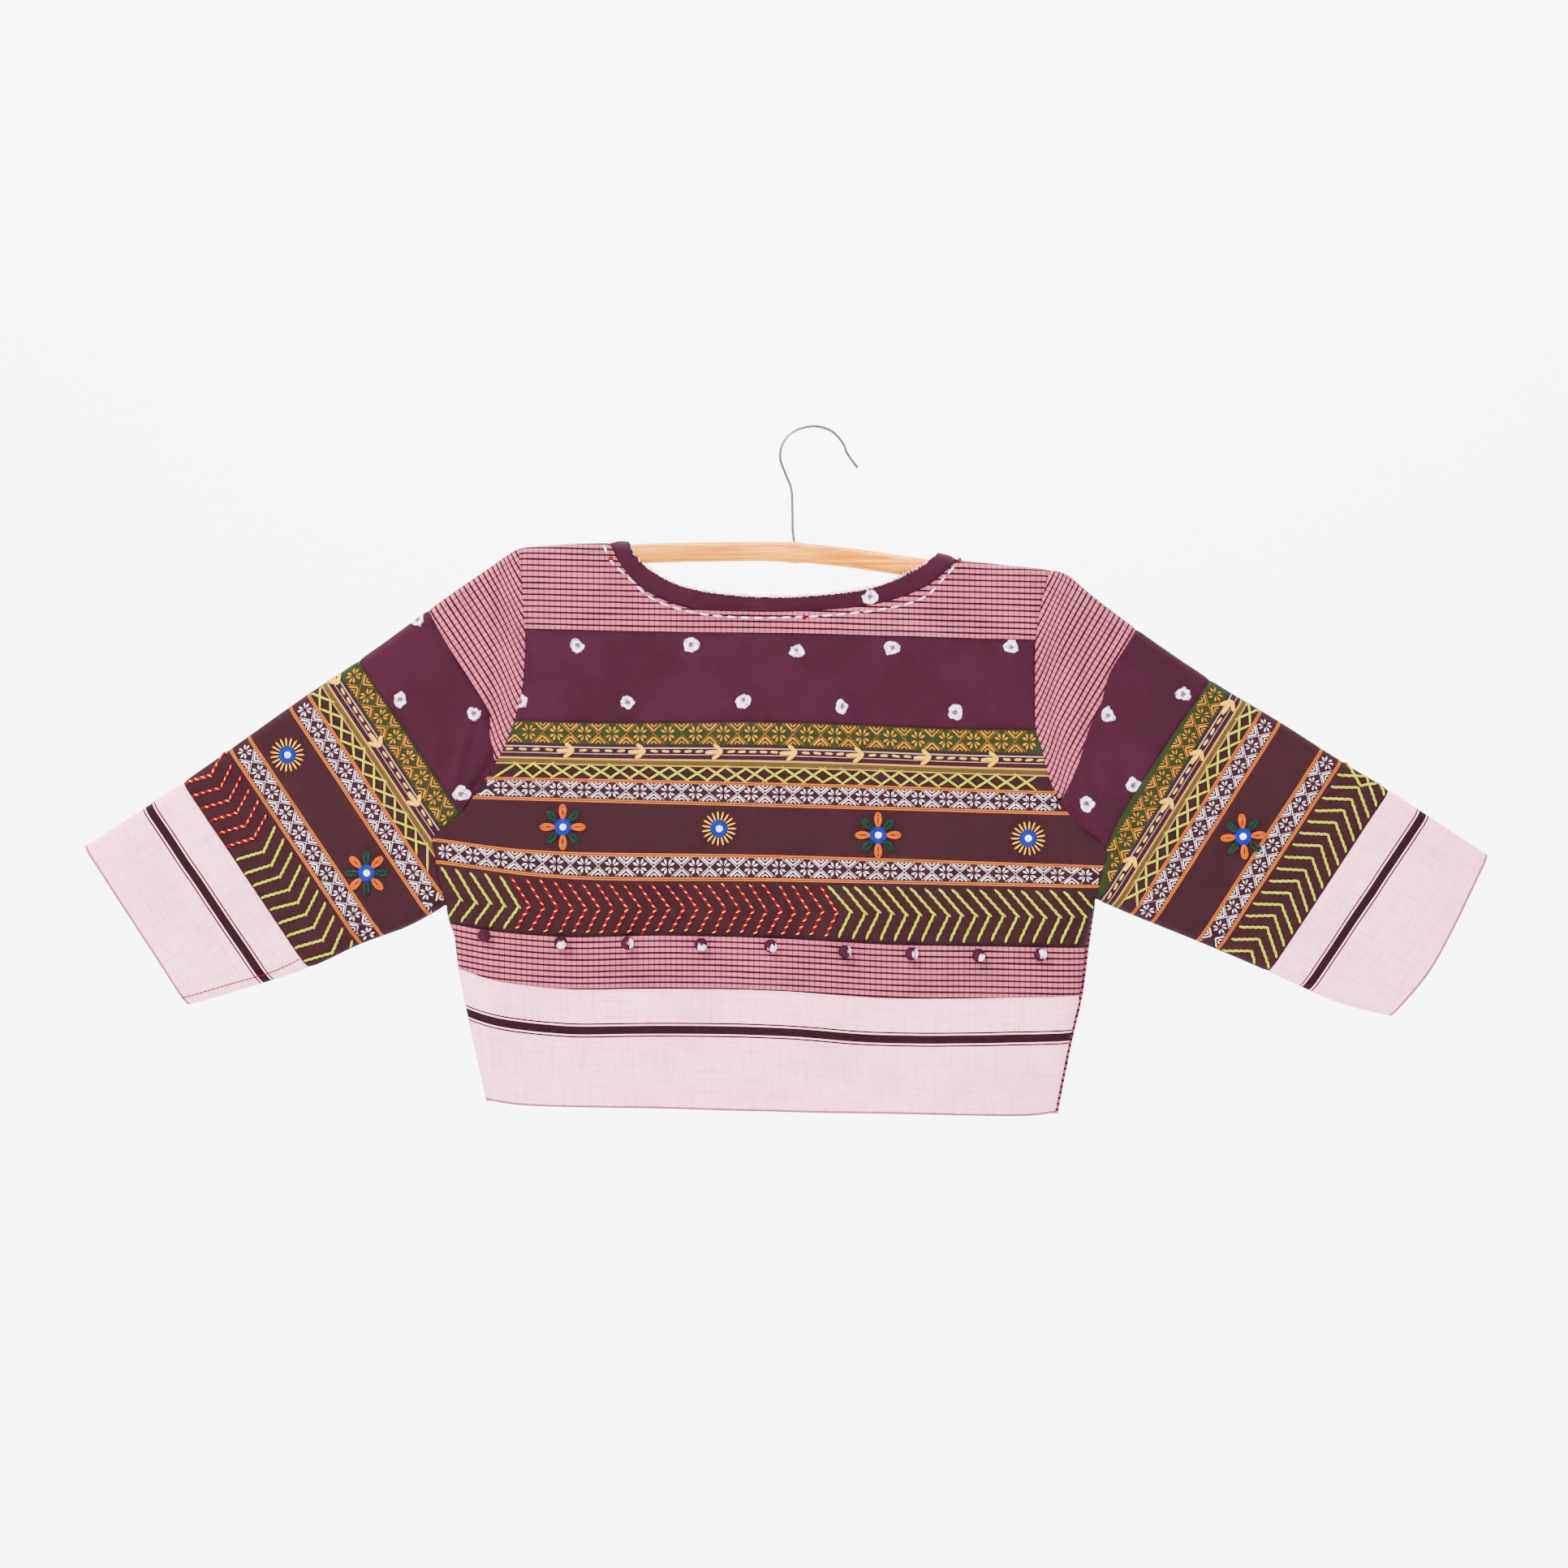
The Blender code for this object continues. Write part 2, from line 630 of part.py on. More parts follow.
def front_half(side):
    """The flat grid of one front, from its outer edge to its placket."""
    neck, _ = front_neck(side)
    outer_edge = front_outer_edge(side)
    shoulder = SHOULDER_LEFT if side == LEFT else SHOULDER_RIGHT
    shoulder = at_columns(shoulder, np.linspace(outer_edge[0, 0], neck[0, 0], 4))
    top = np.vstack([shoulder[:-1], neck])
    across = abs(top[:, 0] - top[0, 0]) / abs(top[-1, 0] - top[0, 0])
    xs = outer_edge[-1, 0] + across * (top[-1, 0] - outer_edge[-1, 0])
    xs[-3:] = top[-3:, 0]
    bottom = at_columns(HEM, xs) - (0.0, FRONT_HEM_DROP)
    down = fractions(outer_edge)
    placket_edge = top[-1] + down[:, None] * (bottom[-1] - top[-1])
    grid = coons(outer_edge, placket_edge, top, bottom, across, down)
    grid[:, -3:, 0] = top[-3:, 0]
    hole_rows = len(armhole(side, FRONT)[0])
    grid[:hole_rows, 0, 0] -= outward(side) * HALF_GAP
    return grid


def front_pieces(checked, purple):
    for side, name in ((LEFT, "left"), (RIGHT, "right")):
        grid = front_half(side)
        patch(f"front_{name}", FRONT, grid, checked, placket_rise(side, grid[:, :, 0]))
        seam, edge = front_neck(side)
        rise = placket_rise(side, seam[:, 0]) + BINDING_RISE
        binding(f"neck_binding_front_{name}", FRONT, seam, edge, purple, rise)


# The sleeves


def front_shift(side, tip):
    """How far the front's armhole point lies from the back's."""
    back_line, places = armhole(side, BACK)
    front_line, _ = armhole(side, FRONT)
    return front_line[places[tip]] - back_line[places[tip]]


def sleeve_lines(side, layer):
    """The lines across one layer of a sleeve, each from its top edge down: the armhole down to the
    cap's tip, the cap seam, the gold seam and the armhole below it, the hem seam and the cuff."""
    cap_hole = armhole_between(side, layer, "shoulder", CAP_TIP[side])
    low_hole = armhole_between(side, layer, BANDHANI_TIP[side], "underarm")
    down = fractions(cap_hole)
    cap_seam = at_fractions(CAP_SEAM[side], down)
    gold_seam = at_fractions(GOLD_SLEEVE_SEAM[side], down)
    if layer == FRONT:
        cap_seam = cap_seam + down[:, None] ** 2 * front_shift(side, CAP_TIP[side])
        gold_seam = gold_seam + down[:, None] ** 2 * front_shift(side, BANDHANI_TIP[side])
    border_start = np.vstack([gold_seam, low_hole[1:]])
    low = fractions(border_start)
    hem_seam = at_fractions(SLEEVE_HEM_SEAM[side], low)
    cuff = at_fractions(CUFF[side], low)
    return cap_hole, cap_seam, gold_seam, border_start, hem_seam, cuff


def along_edge(edge, start, end, parts):
    """The points of a sleeve's edge between two of its places, at these parts of the way."""
    edge = np.array(edge, float)
    along = lengths(edge)
    marks = [along[np.argmin(np.linalg.norm(edge - p, axis=1))] for p in (start, end)]
    return at_distances(edge, marks[0] + np.array(parts) * (marks[1] - marks[0]))


def sleeve_grid(side, first, last, parts, top_edge, low_edge):
    """A flat grid along one layer of a sleeve, from its first line to its last. Its columns follow the
    sleeve's top edge on one side and its lower edge, or the armhole, on the other."""
    top = along_edge(top_edge, first[0], last[0], parts)
    low = along_edge(low_edge, first[-1], last[-1], parts)
    down = (fractions(first) + fractions(last)) / 2
    grid = coons(top, low, first, last, down, np.array(parts))
    grid[0, :, 0] += outward(side) * HALF_GAP
    grid[-1, :, 0] -= outward(side) * HALF_GAP
    return grid


def both_layers(back, front, ring):
    """The outer and inner points of a sleeve piece, from its low edge up the back, over the top edge
    and down the front. A ring leaves out the front's low edge, which is the back's."""
    back_faces = lift(back[:, ::-1], BACK)
    front = front[:, 1:-1] if ring else front[:, 1:]
    front_faces = lift(front, FRONT)
    return [np.concatenate(pair, 1) for pair in zip(back_faces, front_faces)]


def blunt(line):
    """The line with a little cut from its last stretch."""
    line = line.copy()
    line[-1] = line[-1] + TIP_CUT * (line[-2] - line[-1])
    return line


def sleeve(side, name, checked, bandhani, border, hem):
    top_edge = SLEEVE_TOP_LEFT if side == LEFT else SLEEVE_TOP_RIGHT
    low_edge = SLEEVE_UNDER_LEFT if side == LEFT else SLEEVE_UNDER_RIGHT
    layers = {layer: sleeve_lines(side, layer) for layer in (BACK, FRONT)}
    holes = {layer: armhole(side, layer)[0] for layer in (BACK, FRONT)}

    def piece(part_name, first, last, parts, look, ring):
        grids = []
        for layer in (BACK, FRONT):
            low = low_edge if ring else holes[layer]
            lines = layers[layer]
            start, end = lines[first], lines[last]
            if part_name == "cap":
                start, end = blunt(start), blunt(end)
                low = np.array([start[-1], end[-1]])
            grid = sleeve_grid(side, start, end, parts, top_edge, low)
            if part_name == "bandhani":
                grid[:, -1, 0] += outward(side) * HALF_GAP
            grids.append(grid)
        outer, inner = both_layers(*grids, ring)
        wall(f"sleeve_{name}_{part_name}", outer, inner, look, ring)

    piece("cap", 0, 1, (0.0, 0.2, 0.45, 0.7, 1.0), checked, False)
    piece("bandhani", 1, 2, (0.0, 0.35, 0.7, 1.0), bandhani, False)
    piece("border", 3, 4, (0.0, 0.12, 0.25, 0.4, 0.55, 0.7, 0.85, 1.0), border, True)
    piece("hem_band", 4, 5, (0.0, 0.25, 0.5, 0.75, 1.0), hem, True)


# Fabric balls and hanger


def ball(name, x, z, look):
    """A stuffed ball that rests against the back, just under the border seam."""
    outer, _ = lift(np.array([[(x, z)]]), BACK)
    y = outer[0, 0, 1] - BALL_GAP - BALL_RADIUS
    mesh = bpy.data.meshes.new(name)
    made = bpy.data.objects.new(name, mesh)
    bpy.context.collection.objects.link(made)
    shape = bmesh.new()
    bmesh.ops.create_icosphere(shape, subdivisions=2, radius=BALL_RADIUS * MM)
    shape.to_mesh(mesh)
    shape.free()
    mesh.materials.append(look)
    mesh.shade_smooth()
    made.location = (x * MM, y * MM, z * MM)
    return made


def tube(name, line, radii, sides, look):
    """A round rod along a line in the X-Z plane, with flat ends."""
    line = np.array(line, float)
    steps = np.gradient(line, axis=0)
    steps /= np.linalg.norm(steps, axis=1, keepdims=True)
    turns = np.linspace(0, 2 * math.pi, sides, endpoint=False)
    rings = []
    for centre, step, radius in zip(line, steps, radii):
        across = np.array((-step[1], 0.0, step[0]))
        deep = np.array((0.0, 1.0, 0.0))
        middle = np.array((centre[0], 0.0, centre[1]))
        rings.append([middle + radius * (math.cos(t) * across + math.sin(t) * deep) for t in turns])
    verts = np.array(rings).reshape(-1, 3)
    faces = []
    for i in range(len(line) - 1):
        for j in range(sides):
            k = (j + 1) % sides
            faces.append((i * sides + j, i * sides + k, (i + 1) * sides + k, (i + 1) * sides + j))
    last = (len(line) - 1) * sides
    if volume(verts, np.array(faces)) < 0:
        faces = [f[::-1] for f in faces]
        caps = [tuple(range(sides)), tuple(range(last + sides - 1, last - 1, -1))]
    else:
        caps = [tuple(range(sides))[::-1], tuple(range(last, last + sides))]
    return finished(name, verts, faces + caps, look)


def hanger(wood, steel):
    line = smooth_line(ROD_LINE, 3)
    joint_x = HOOK_LINE[0][0]
    marks = joint_x + ROD_JOINT_WIDTH * np.array([-2.0, -0.5, 0.5, 2.0])
    clear = abs(line[:, 0] - joint_x) > ROD_JOINT_CLEAR
    xs = np.array(sorted(list(line[clear, 0]) + list(marks)))
    line = at_columns(line, xs)
    radii = ROD_RADIUS + ROD_JOINT_RISE * (abs(xs - joint_x) < ROD_JOINT_WIDTH)
    bar = tube("hanger_bar", line, radii, ROD_SIDES, wood)
    top = HOOK_LINE[0][1]
    bpy.ops.mesh.primitive_cylinder_add(
        vertices=12,
        radius=WIRE_HOLE_RADIUS * MM,
        depth=2 * (WIRE_DEPTH_IN_ROD + WIRE_HOLE_PLAY) * MM,
        location=(joint_x * MM, 0.0, top * MM),
    )
    cutter = bpy.context.object
    cutter.name = "wire_hole_cutter"
    cutter.hide_render = True
    cutter.display_type = "WIRE"
    cut = bar.modifiers.new("wire hole", "BOOLEAN")
    cut.operation = "DIFFERENCE"
    cut.object = cutter
    cut.solver = "EXACT"
    wire = smooth_line(HOOK_LINE, 4)
    wire = np.vstack([(joint_x, top - WIRE_DEPTH_IN_ROD), wire])
    tube("hanger_hook", wire, np.full(len(wire), WIRE_RADIUS), 8, steel)


def main():
    for old in list(bpy.data.objects):
        bpy.data.objects.remove(old, do_unlink=True)
    checked = material("checked pink cloth", CHECK_PINK, 0.9)
    bandhani = material("bandhani purple cloth", BANDHANI_PURPLE, 0.8)
    border = material("border cloth", BORDER_MAROON, 0.85)
    hem = material("heathered pink cloth", HEM_PINK, 0.9)
    wood = material("honey wood", WOOD_HONEY, 0.45)
    steel = material("grey steel", STEEL_GREY, 0.35, 1.0)
    back_pieces(checked, bandhani, border, hem)
    seam = neck_line(BACK_NECK_SEAM)
    edge = at_fractions(smooth_line(BACK_NECK_EDGE, 8), fractions(seam))
    binding("neck_binding_back", BACK, seam, edge, bandhani)
    front_pieces(checked, bandhani)
    sleeve(LEFT, "left", checked, bandhani, border, hem)
    sleeve(RIGHT, "right", checked, bandhani, border, hem)
    for number, (x, z) in enumerate(BALLS, 1):
        ball(f"potli_ball_{number}", x, z, bandhani)
    hanger(wood, steel)


main()
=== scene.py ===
"""Choli blouse on a wooden hanger: cloth, woven stars, embroidery and mirrors.

The back faces -Y and the front faces +Y. The blouse hangs flat, so its back and its front are two
layers that meet along folded edges. A panel is drawn flat in X and Z between four edges and then
lifted to its layer's depth, and whatever is sewn on it is drawn and lifted in the same way.

Sizes in the tables are millimetres. The origin is the underside of the hook's top. Left is the
wearer's left, at -X.
"""

import math

import bpy
import numpy as np
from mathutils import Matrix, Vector


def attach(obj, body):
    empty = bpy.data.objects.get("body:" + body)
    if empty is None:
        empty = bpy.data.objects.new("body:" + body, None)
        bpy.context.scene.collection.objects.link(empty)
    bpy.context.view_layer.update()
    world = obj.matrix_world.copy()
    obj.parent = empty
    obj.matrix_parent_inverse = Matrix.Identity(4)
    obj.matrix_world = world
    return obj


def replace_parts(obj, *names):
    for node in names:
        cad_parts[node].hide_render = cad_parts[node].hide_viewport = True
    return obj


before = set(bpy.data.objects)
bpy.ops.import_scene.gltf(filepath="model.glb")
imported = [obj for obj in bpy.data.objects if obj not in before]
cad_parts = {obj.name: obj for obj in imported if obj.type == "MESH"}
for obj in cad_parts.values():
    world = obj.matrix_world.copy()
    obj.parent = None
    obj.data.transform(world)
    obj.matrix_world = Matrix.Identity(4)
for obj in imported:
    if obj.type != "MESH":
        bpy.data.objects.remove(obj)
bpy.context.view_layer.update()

bl_info = {
    "name": "Choli Blouse",
    "version": (1, 0, 0),
    "blender": (4, 5, 0),
    "location": "View3D > Sidebar > Choli",
    "description": "Makes an embroidered choli blouse on its hanger, piece by piece",
    "category": "Add Mesh",
}

MM = 0.001
LEFT, RIGHT = 0, 1
BACK, FRONT = -1, 1
SLEEVES = ("sleeve_left", "sleeve_right")

# Cloth
HALF_GAP = 0.01  # each panel stops this far from its seam line
BINDING_RISE = 0.4
BINDING_LAP = 0.08  # the part of its width by which the binding lies over the yoke
BINDING_CROWN = 0.5
MIDDLE_X = -28.0
BODY_HALF_WIDTH = 215.0
SLEEVE_BLEND = 120.0  # from the body's depth to the sleeve's
SLEEVE_DEPTH = 8.7
FRONT_SCOOP = 5.0
FRONT_HEM_DROP = 1.5
FRONT_SIDE_TURN = 2.2
PLACKET_HALF = 12.0
PLACKET_STEP = 1.9
PLACKET_RAMP = 6.0
SEAM_LOOK = 16.0  # how far from a seam its dip and puckers are worked out
PUCKER_FADE = 5.0
CAP_LOOK = 40.0  # how far from the armhole the bend of a cap's checks is worked out
CAP_BEND_REACH = 14.0
CAP_BEND = 6.0
BORDER_DEPTH = 150.9  # the border cloth from its gold seam to its lower seam

# Armhole seam of the back, from the shoulder to the underarm.
# Columns: name, left x, left z, right x, right z
ARMHOLE = (
    ("shoulder", -209.5, -85, 166.5, -100.5), ("blade", -207.5, -106.5, 160.5, -122.5),
    ("yoke_seam", -204.5, -143.5, 156, -151.5), ("chest", -205, -169, 155.5, -175),
    ("chest_low", -207, -189, 155.5, -195), ("gold_seam", -212, -208, 156, -214.5),
    ("turn_1", -217, -221.5, 160, -227.5), ("turn_2", -225.5, -238.5, 165.5, -249),
    ("turn_3", -236.5, -255, 173, -265), ("turn_4", -250.5, -273.5, 185, -280.5),
    ("turn_5", -268.5, -289.5, 205, -299), ("turn_6", -267.5, -304.5, 202.5, -315),
    ("underarm", -261.5, -339, 199.5, -334.5),
)
CAP_TIP = ("turn_2", "turn_3")
BANDHANI_TIP = ("turn_4", "turn_5")

# Folded edges, as points (x, z). The blouse lies on the left of each as its points run.
SHOULDER_LEFT = ((-131.5, -81), (-144, -81.5), (-173.5, -82.5), (-209.5, -85))
SHOULDER_RIGHT = ((166.5, -100.5), (146.5, -98.5), (123.5, -96), (100.5, -93.5), (87.5, -89))
SLEEVE_TOP = (
    (
        (-209.5, -85), (-219.5, -91.5), (-231, -99.5), (-273.5, -129), (-323, -165), (-368, -195),
        (-447, -251), (-516.5, -296.5),
    ),
    (
        (476.5, -302.5), (406.5, -256.5), (375, -237.5), (329, -208), (280, -178.5), (228, -142.5),
        (197.5, -119.5), (179.5, -104.5), (166.5, -100.5),
    ),
)
SLEEVE_UNDER = (
    (
        (-443.5, -409), (-413.5, -400.5), (-358.5, -383), (-322.5, -366.5), (-288, -353.5),
        (-261.5, -339),
    ),
    ((199.5, -334.5), (225, -345.5), (272, -364.5), (321.5, -385.5), (369.5, -407), (407.5, -417)),
)
SIDE_LEFT = (
    (-261.5, -339), (-259, -351), (-255.5, -360.5), (-252.5, -383.5), (-243.5, -429), (-233, -476),
)
SIDE_RIGHT = (
    (170.5, -485), (180.5, -435), (188, -402.5), (192.5, -368), (199.5, -334.5),
)
TOP_RADIUS = 8.7
UNDER_RADIUS = 13.0
SIDE_RADIUS = 24.0

# Seams across the back, as points (x, z) from left to right
YOKE_SEAM = ((-204.5, -143.5), (-116.5, -145.5), (-25, -146.5), (66.5, -149), (156, -151.5))
GOLD_SEAM = ((-212, -208), (-141.5, -209.5), (-25, -209), (89, -213.5), (156, -214.5))
BORDER_SEAM = (
    (-259, -351), (-221, -356.5), (-171, -360), (-103.5, -359), (-25, -361), (57, -365.5),
    (127, -366.5), (192.5, -368),
)
WAIST_SEAM = (
    (-252.5, -383.5), (-221, -392), (-171, -397.5), (-103.5, -397), (-25, -398.5), (57, -404),
    (188, -402.5),
)
HEM = (
    (-233, -476), (-196.5, -480), (-116.5, -481.5), (-25, -484), (55, -485.5), (140.5, -487),
    (170.5, -485),
)

# Where the border cloth's stripes run across the back. Columns: depth below the gold seam, points (x, z)
BORDER_LEVELS = (
    (0, GOLD_SEAM),
    (41.4, ((-229.7, -247.4), (-2.3, -252.3), (167.4, -257.7))),
    (57.5, ((-239.4, -261.1), (-2.3, -267.4), (175.4, -272.3))),
    (92.7, ((-268, -290.3), (-187.4, -299.4), (-25.1, -302.3), (202.3, -309.7))),
    (110.5, ((-264.6, -308), (-170.9, -318.9), (-25.1, -320.6), (199.4, -325.1))),
    (BORDER_DEPTH, BORDER_SEAM),
)

# Neck edges, as points (x, z) from left to right
BACK_NECK_SEAM = (
    (-144, -81.5), (-135, -99), (-116.5, -116.5), (-88, -127.5), (-48, -130), (-2.5, -129.5),
    (43.5, -124.5), (77.5, -112.5), (100.5, -93.5),
)
BACK_NECK_EDGE = (
    (-131.5, -81), (-122.5, -96), (-99.5, -110.5), (-71, -117.5), (-31, -120.5), (9, -118.5),
    (43.5, -113), (72, -100.5), (87.5, -89),
)
FRONT_NECK_SEAM = (
    (-144, -81.5), (-138, -112), (-123, -150), (-97, -186), (-62, -210), (-28, -217), (12, -211),
    (48, -190), (75, -157), (91, -122), (100.5, -93.5),
)
FRONT_NECK_EDGE = (
    (-131.5, -81), (-127, -110), (-112.5, -146), (-88.5, -178.5), (-57, -200), (-28, -206.5), (8, -201),
    (40, -182.5), (65, -152.5), (80.5, -120), (87.5, -89),
)

# Sleeve seams, as points (x, z) from the sleeve's top edge down: left, right
CAP_SEAM = (
    (
        (-273.5, -129), (-262.5, -149), (-251, -169), (-239.5, -186.5), (-229.5, -202.5),
        (-229, -217.5), (-225.5, -238.5),
    ),
    (
        (228, -142.5), (219.5, -156), (208, -175), (201.5, -197.5), (193.5, -213.5), (184.5, -241.5),
        (173, -265),
    ),
)
GOLD_SLEEVE_SEAM = (
    ((-323, -165), (-255.5, -264.5), (-250.5, -273.5)),
    ((280, -178.5), (249, -223.5), (217.5, -272), (205, -299)),
)
SLEEVE_HEM_SEAM = (
    ((-447, -251), (-358.5, -383)),
    ((406.5, -256.5), (321.5, -385.5)),
)
CUFF = (
    ((-516.5, -296.5), (-482.5, -349), (-443.5, -409)),
    ((476.5, -302.5), (438.5, -378.5), (407.5, -417)),
)

# Depth of each layer off the middle plane, by height. Columns: z, back, front
DEPTHS = (
    (-60, 8.7, 8.7), (-122, 8.7, 8.7), (-180, 10, 10.5), (-270, 13.5, 12.5), (-380, 12.5, 10.5),
    (-490, 10, 8.5),
)

# Folds of each layer. Columns: start x and z, end x and z, half width, height (- is a trough)
FOLDS = {
    BACK: (
        (-222, -95, -240, -262, 9, 3.2), (-215, -120, -222, -235, 5, -2.2),
        (178, -112, 190, -278, 9, 3), (168, -130, 172, -250, 5, -2), (-268, -300, -205, -352, 12, 2),
        (204, -306, 150, -352, 12, 2), (-222, -350, -214, -470, 14, 2.2),
        (-140, -352, -146, -478, 16, -1.8), (62, -356, 60, -482, 18, -1.8),
        (-330, -250, -300, -345, 14, 1.8), (300, -250, 262, -350, 14, 1.8),
        (-238, -188, -257, -264, 5, 4), (-222, -96, -229, -226, 3.6, -3),
        (-212, -110, -219, -220, 5, 2), (-222, -226, -252, -276, 3.4, -4.2),
        (-262, -214, -280, -262, 6, 1.6), (196, -120, 192, -230, 5, -1.6),
        (182, -140, 180, -236, 6, 1.4), (200, -226, 214, -292, 6, 2.4), (176, -258, 204, -302, 3, -2.6),
        (230, -226, 246, -292, 7, 1.6), (-196, -96, -190, -190, 7, 1.2), (146, -108, 140, -196, 7, 1.2),
        (-250, -312, -160, -338, 7, 1.4), (190, -318, 112, -345, 7, 1.4),
        (-40, -356, -34, -476, 16, 1.2), (120, -362, 124, -474, 13, 1.4),
        (-188, -384, -182, -470, 9, -1.2), (8, -392, 14, -478, 11, -0.9),
        (-420, -270, -470, -352, 10, 1.2), (-380, -300, -352, -372, 8, -1.1),
        (380, -300, 420, -380, 10, 1.2), (330, -262, 300, -352, 9, -0.9),
        (-372, -380, -262, -336, 2.4, -2),
    ),
    FRONT: (
        (-222, -98, -238, -262, 9, 3), (178, -114, 188, -278, 9, 2.8),
        (-170, -300, -120, -470, 18, 2.4), (110, -300, 66, -470, 18, 2.4),
        (-200, -345, -196, -470, 14, -1.8), (140, -350, 132, -470, 14, -1.8),
        (310, -260, 270, -352, 14, 1.8), (-340, -255, -306, -348, 14, 1.8),
        (-232, -200, -252, -268, 5, 2), (186, -196, 208, -282, 5, 1.9),
        (-246, -312, -170, -345, 8, 1.5), (186, -318, 118, -350, 8, 1.5),
        (-60, -250, -66, -470, 14, 1.6), (30, -250, 24, -474, 12, -1.4),
        (-420, -272, -466, -356, 10, 1.2), (382, -296, 424, -382, 10, 1.2),
    ),
}

# Tie-dyed dots, as points (x, z)
DOTS = (
    (-167.4, -154.9), (-87.4, -154.3), (-13.1, -158.3), (54.9, -156.6), (138.3, -156), (-208, -194.3),
    (-132, -194.9), (-50.3, -193.1), (19.4, -197.7), (98.9, -202.3), (-281.1, -136), (-292.6, -193.1),
    (-240, -203.4), (-249.1, -259.4), (260, -189.1), (206.9, -204), (224.6, -253.7), (191.4, -266.3),
    (38.9, -120),
)
EDGE_REACH = 12.0  # how far from a dot or a free edge the cloth's third value still tells it

# The border cloth's stripes from the gold seam down. Columns: where each starts, its colour
STRIPES = (
    (0, "band_green"), (16, "border"), (17.9, "pale_line"), (18.4, "border"), (22.6, "pale_line"),
    (23.1, "border"), (26.2, "tan"), (27.3, "border"), (27.7, "olive"), (28.6, "band_green"),
    (29.1, "olive"), (29.9, "border"), (30.3, "tan"), (31.4, "border"), (41.2, "stripe_orange"),
    (42.1, "border"), (42.5, "stripe_orange"), (43.6, "border"), (57, "stripe_orange"),
    (57.9, "border"), (58.3, "stripe_orange"), (59.2, "border"), (92.9, "stripe_orange"),
    (93.8, "border"), (94.2, "stripe_orange"), (95.2, "border"), (108.6, "stripe_orange"),
    (109.5, "border"), (109.9, "stripe_orange"), (110.8, "border"),
)
STRIPE_SPAN = 112.0
HEM_STRIPE = {"body": 25.8, "sleeve": 26.5}
HEM_STRIPE_WIDTH = 5.9

# Woven star bands. Columns: thread, start depth, height
STAR_BANDS = (("gold", 0.9, 14.4), ("white", 44, 12.6), ("white", 95.6, 12.6))
STAR_REPEAT = 19.6
STAR_FOOT = -0.25  # how far the roofs' bases sink into the cloth
SLEEVE_SQUEEZE = 0.88  # how much closer together the stars are on the sleeves
STAR_HIGH = 12.4  # the height at which a star is as wide as it is high
STAR_ARM = 7.3  # how far the crossed arms reach along the band

# Embroidery along the border
DASH_DEPTH = 20.6
# Where the yellow arrows' tips lie, and which way they point along the band
ARROWS = {
    "back": ((-169.7, -119.4, -65.1, -12.6, 34.3, 81.7, 129.1), 1),
    "sleeve_left": ((6.5, 59.7, 109.6), 1),
    "sleeve_right": ((5.3, 46.6, 86.9, 135.6), -1),
}
ARROW_LOOPS = ((142, 8.6), (176, 12), (220, 7.6))  # turn in degrees, length
DASH_STEP, DASH_LENGTH = 8.4, 5.4
HERRINGBONE_DEPTH = 36.0
HERRINGBONE_HALF_HEIGHT = 4.6
HERRINGBONE_HALF_WAVE = 13.6
CHEVRON_DEPTH = 113.4
# Columns: garment part, thread, first top, step, number, apex and foot below and beside each top
CHEVRONS = (
    ("back", "lime", -262.6, 10.3, 5, (13.6, 19.6), (0.8, 37.6)),
    ("back", "red", -213.1, 9.85, 23, (12.3, 17.9), (2.6, 36.6)),
    ("back", "lime", 9.2, 9.79, 20, (16.2, 17.4), (6, 37.6)),
    ("sleeve_left", "red", -1, 10.8, 6, (9.5, 17), (3.5, 35.4)),
    ("sleeve_left", "lime", 63.8, 10.8, 11, (9.5, 17), (3.5, 35.4)),
    ("sleeve_right", "lime", 1.4, 9.85, 19, (-10.2, 17.5), (3, 35)),
)
CHEVRON_STITCHES = 5  # on each arm

# Mirror flowers and suns. Columns: garment part, kind, x, z, turn in degrees
MIRRORS = (
    ("back", "flower", -177.4, -282.9, 0), ("back", "flower", 44.6, -288.6, 0),
    ("back", "sun", -67.4, -284, 0), ("back", "sun", 150.3, -290.9, 10),
    ("sleeve_left", "flower", -316, -315.4, 45), ("sleeve_left", "sun", -372.2, -232, 0),
    ("sleeve_right", "flower", 302.3, -289.7, 5),
)
HIDDEN_MIRRORS = (("sun", 48, 75.5), ("flower", 112, 75.5))  # on the sleeves' front halves: kind, u, v
RING_RADIUS = 6.4  # of the blue stitches round a mirror
RING_STITCHES = 30
SUN_RAYS = 19
DISC_SIDES = 24

# Running stitches round the back neck, and its red knots, as points (x, z)
NECK_STITCHES = (
    (-149.7, -81.7), (-144, -94.9), (-130.9, -107.4), (-116.6, -120.6), (-99.4, -128), (-76.6, -133.1),
    (-48, -135.4), (-13.7, -134.9), (20.6, -132.6), (54.9, -128), (77.7, -120.6), (92, -106.3),
    (102.3, -94.9),
)
NECK_KNOTS = ((-144, -93.7), (-7.4, -134.9), (102.3, -94.3))
TUFTS = 230

# The left sleeve's underarm seam across the hem band, as points (x, z) from the cuff
SLEEVE_SEAM = ((-446.4, -403.6), (-389.0, -387.2), (-360.8, -375.0))

BALL_ROWS, BALL_COLUMNS = 22, 32
PLEATS = 7
# Fabric balls along the border seam: centre x, centre z
BALLS = (
    (-232.5, -359), (-178.5, -364), (-131.5, -364.5), (-80, -365.5), (-31, -366.5), (21, -370.5),
    (68, -372), (115, -373), (158.5, -372.5),
)


def length(name, description, default):
    """A size that the sidebar shows, from a default in millimetres."""
    words = {"name": name, "description": description, "subtype": "DISTANCE", "unit": "LENGTH"}
    return bpy.props.FloatProperty(default=default * MM, min=0.0, **words)


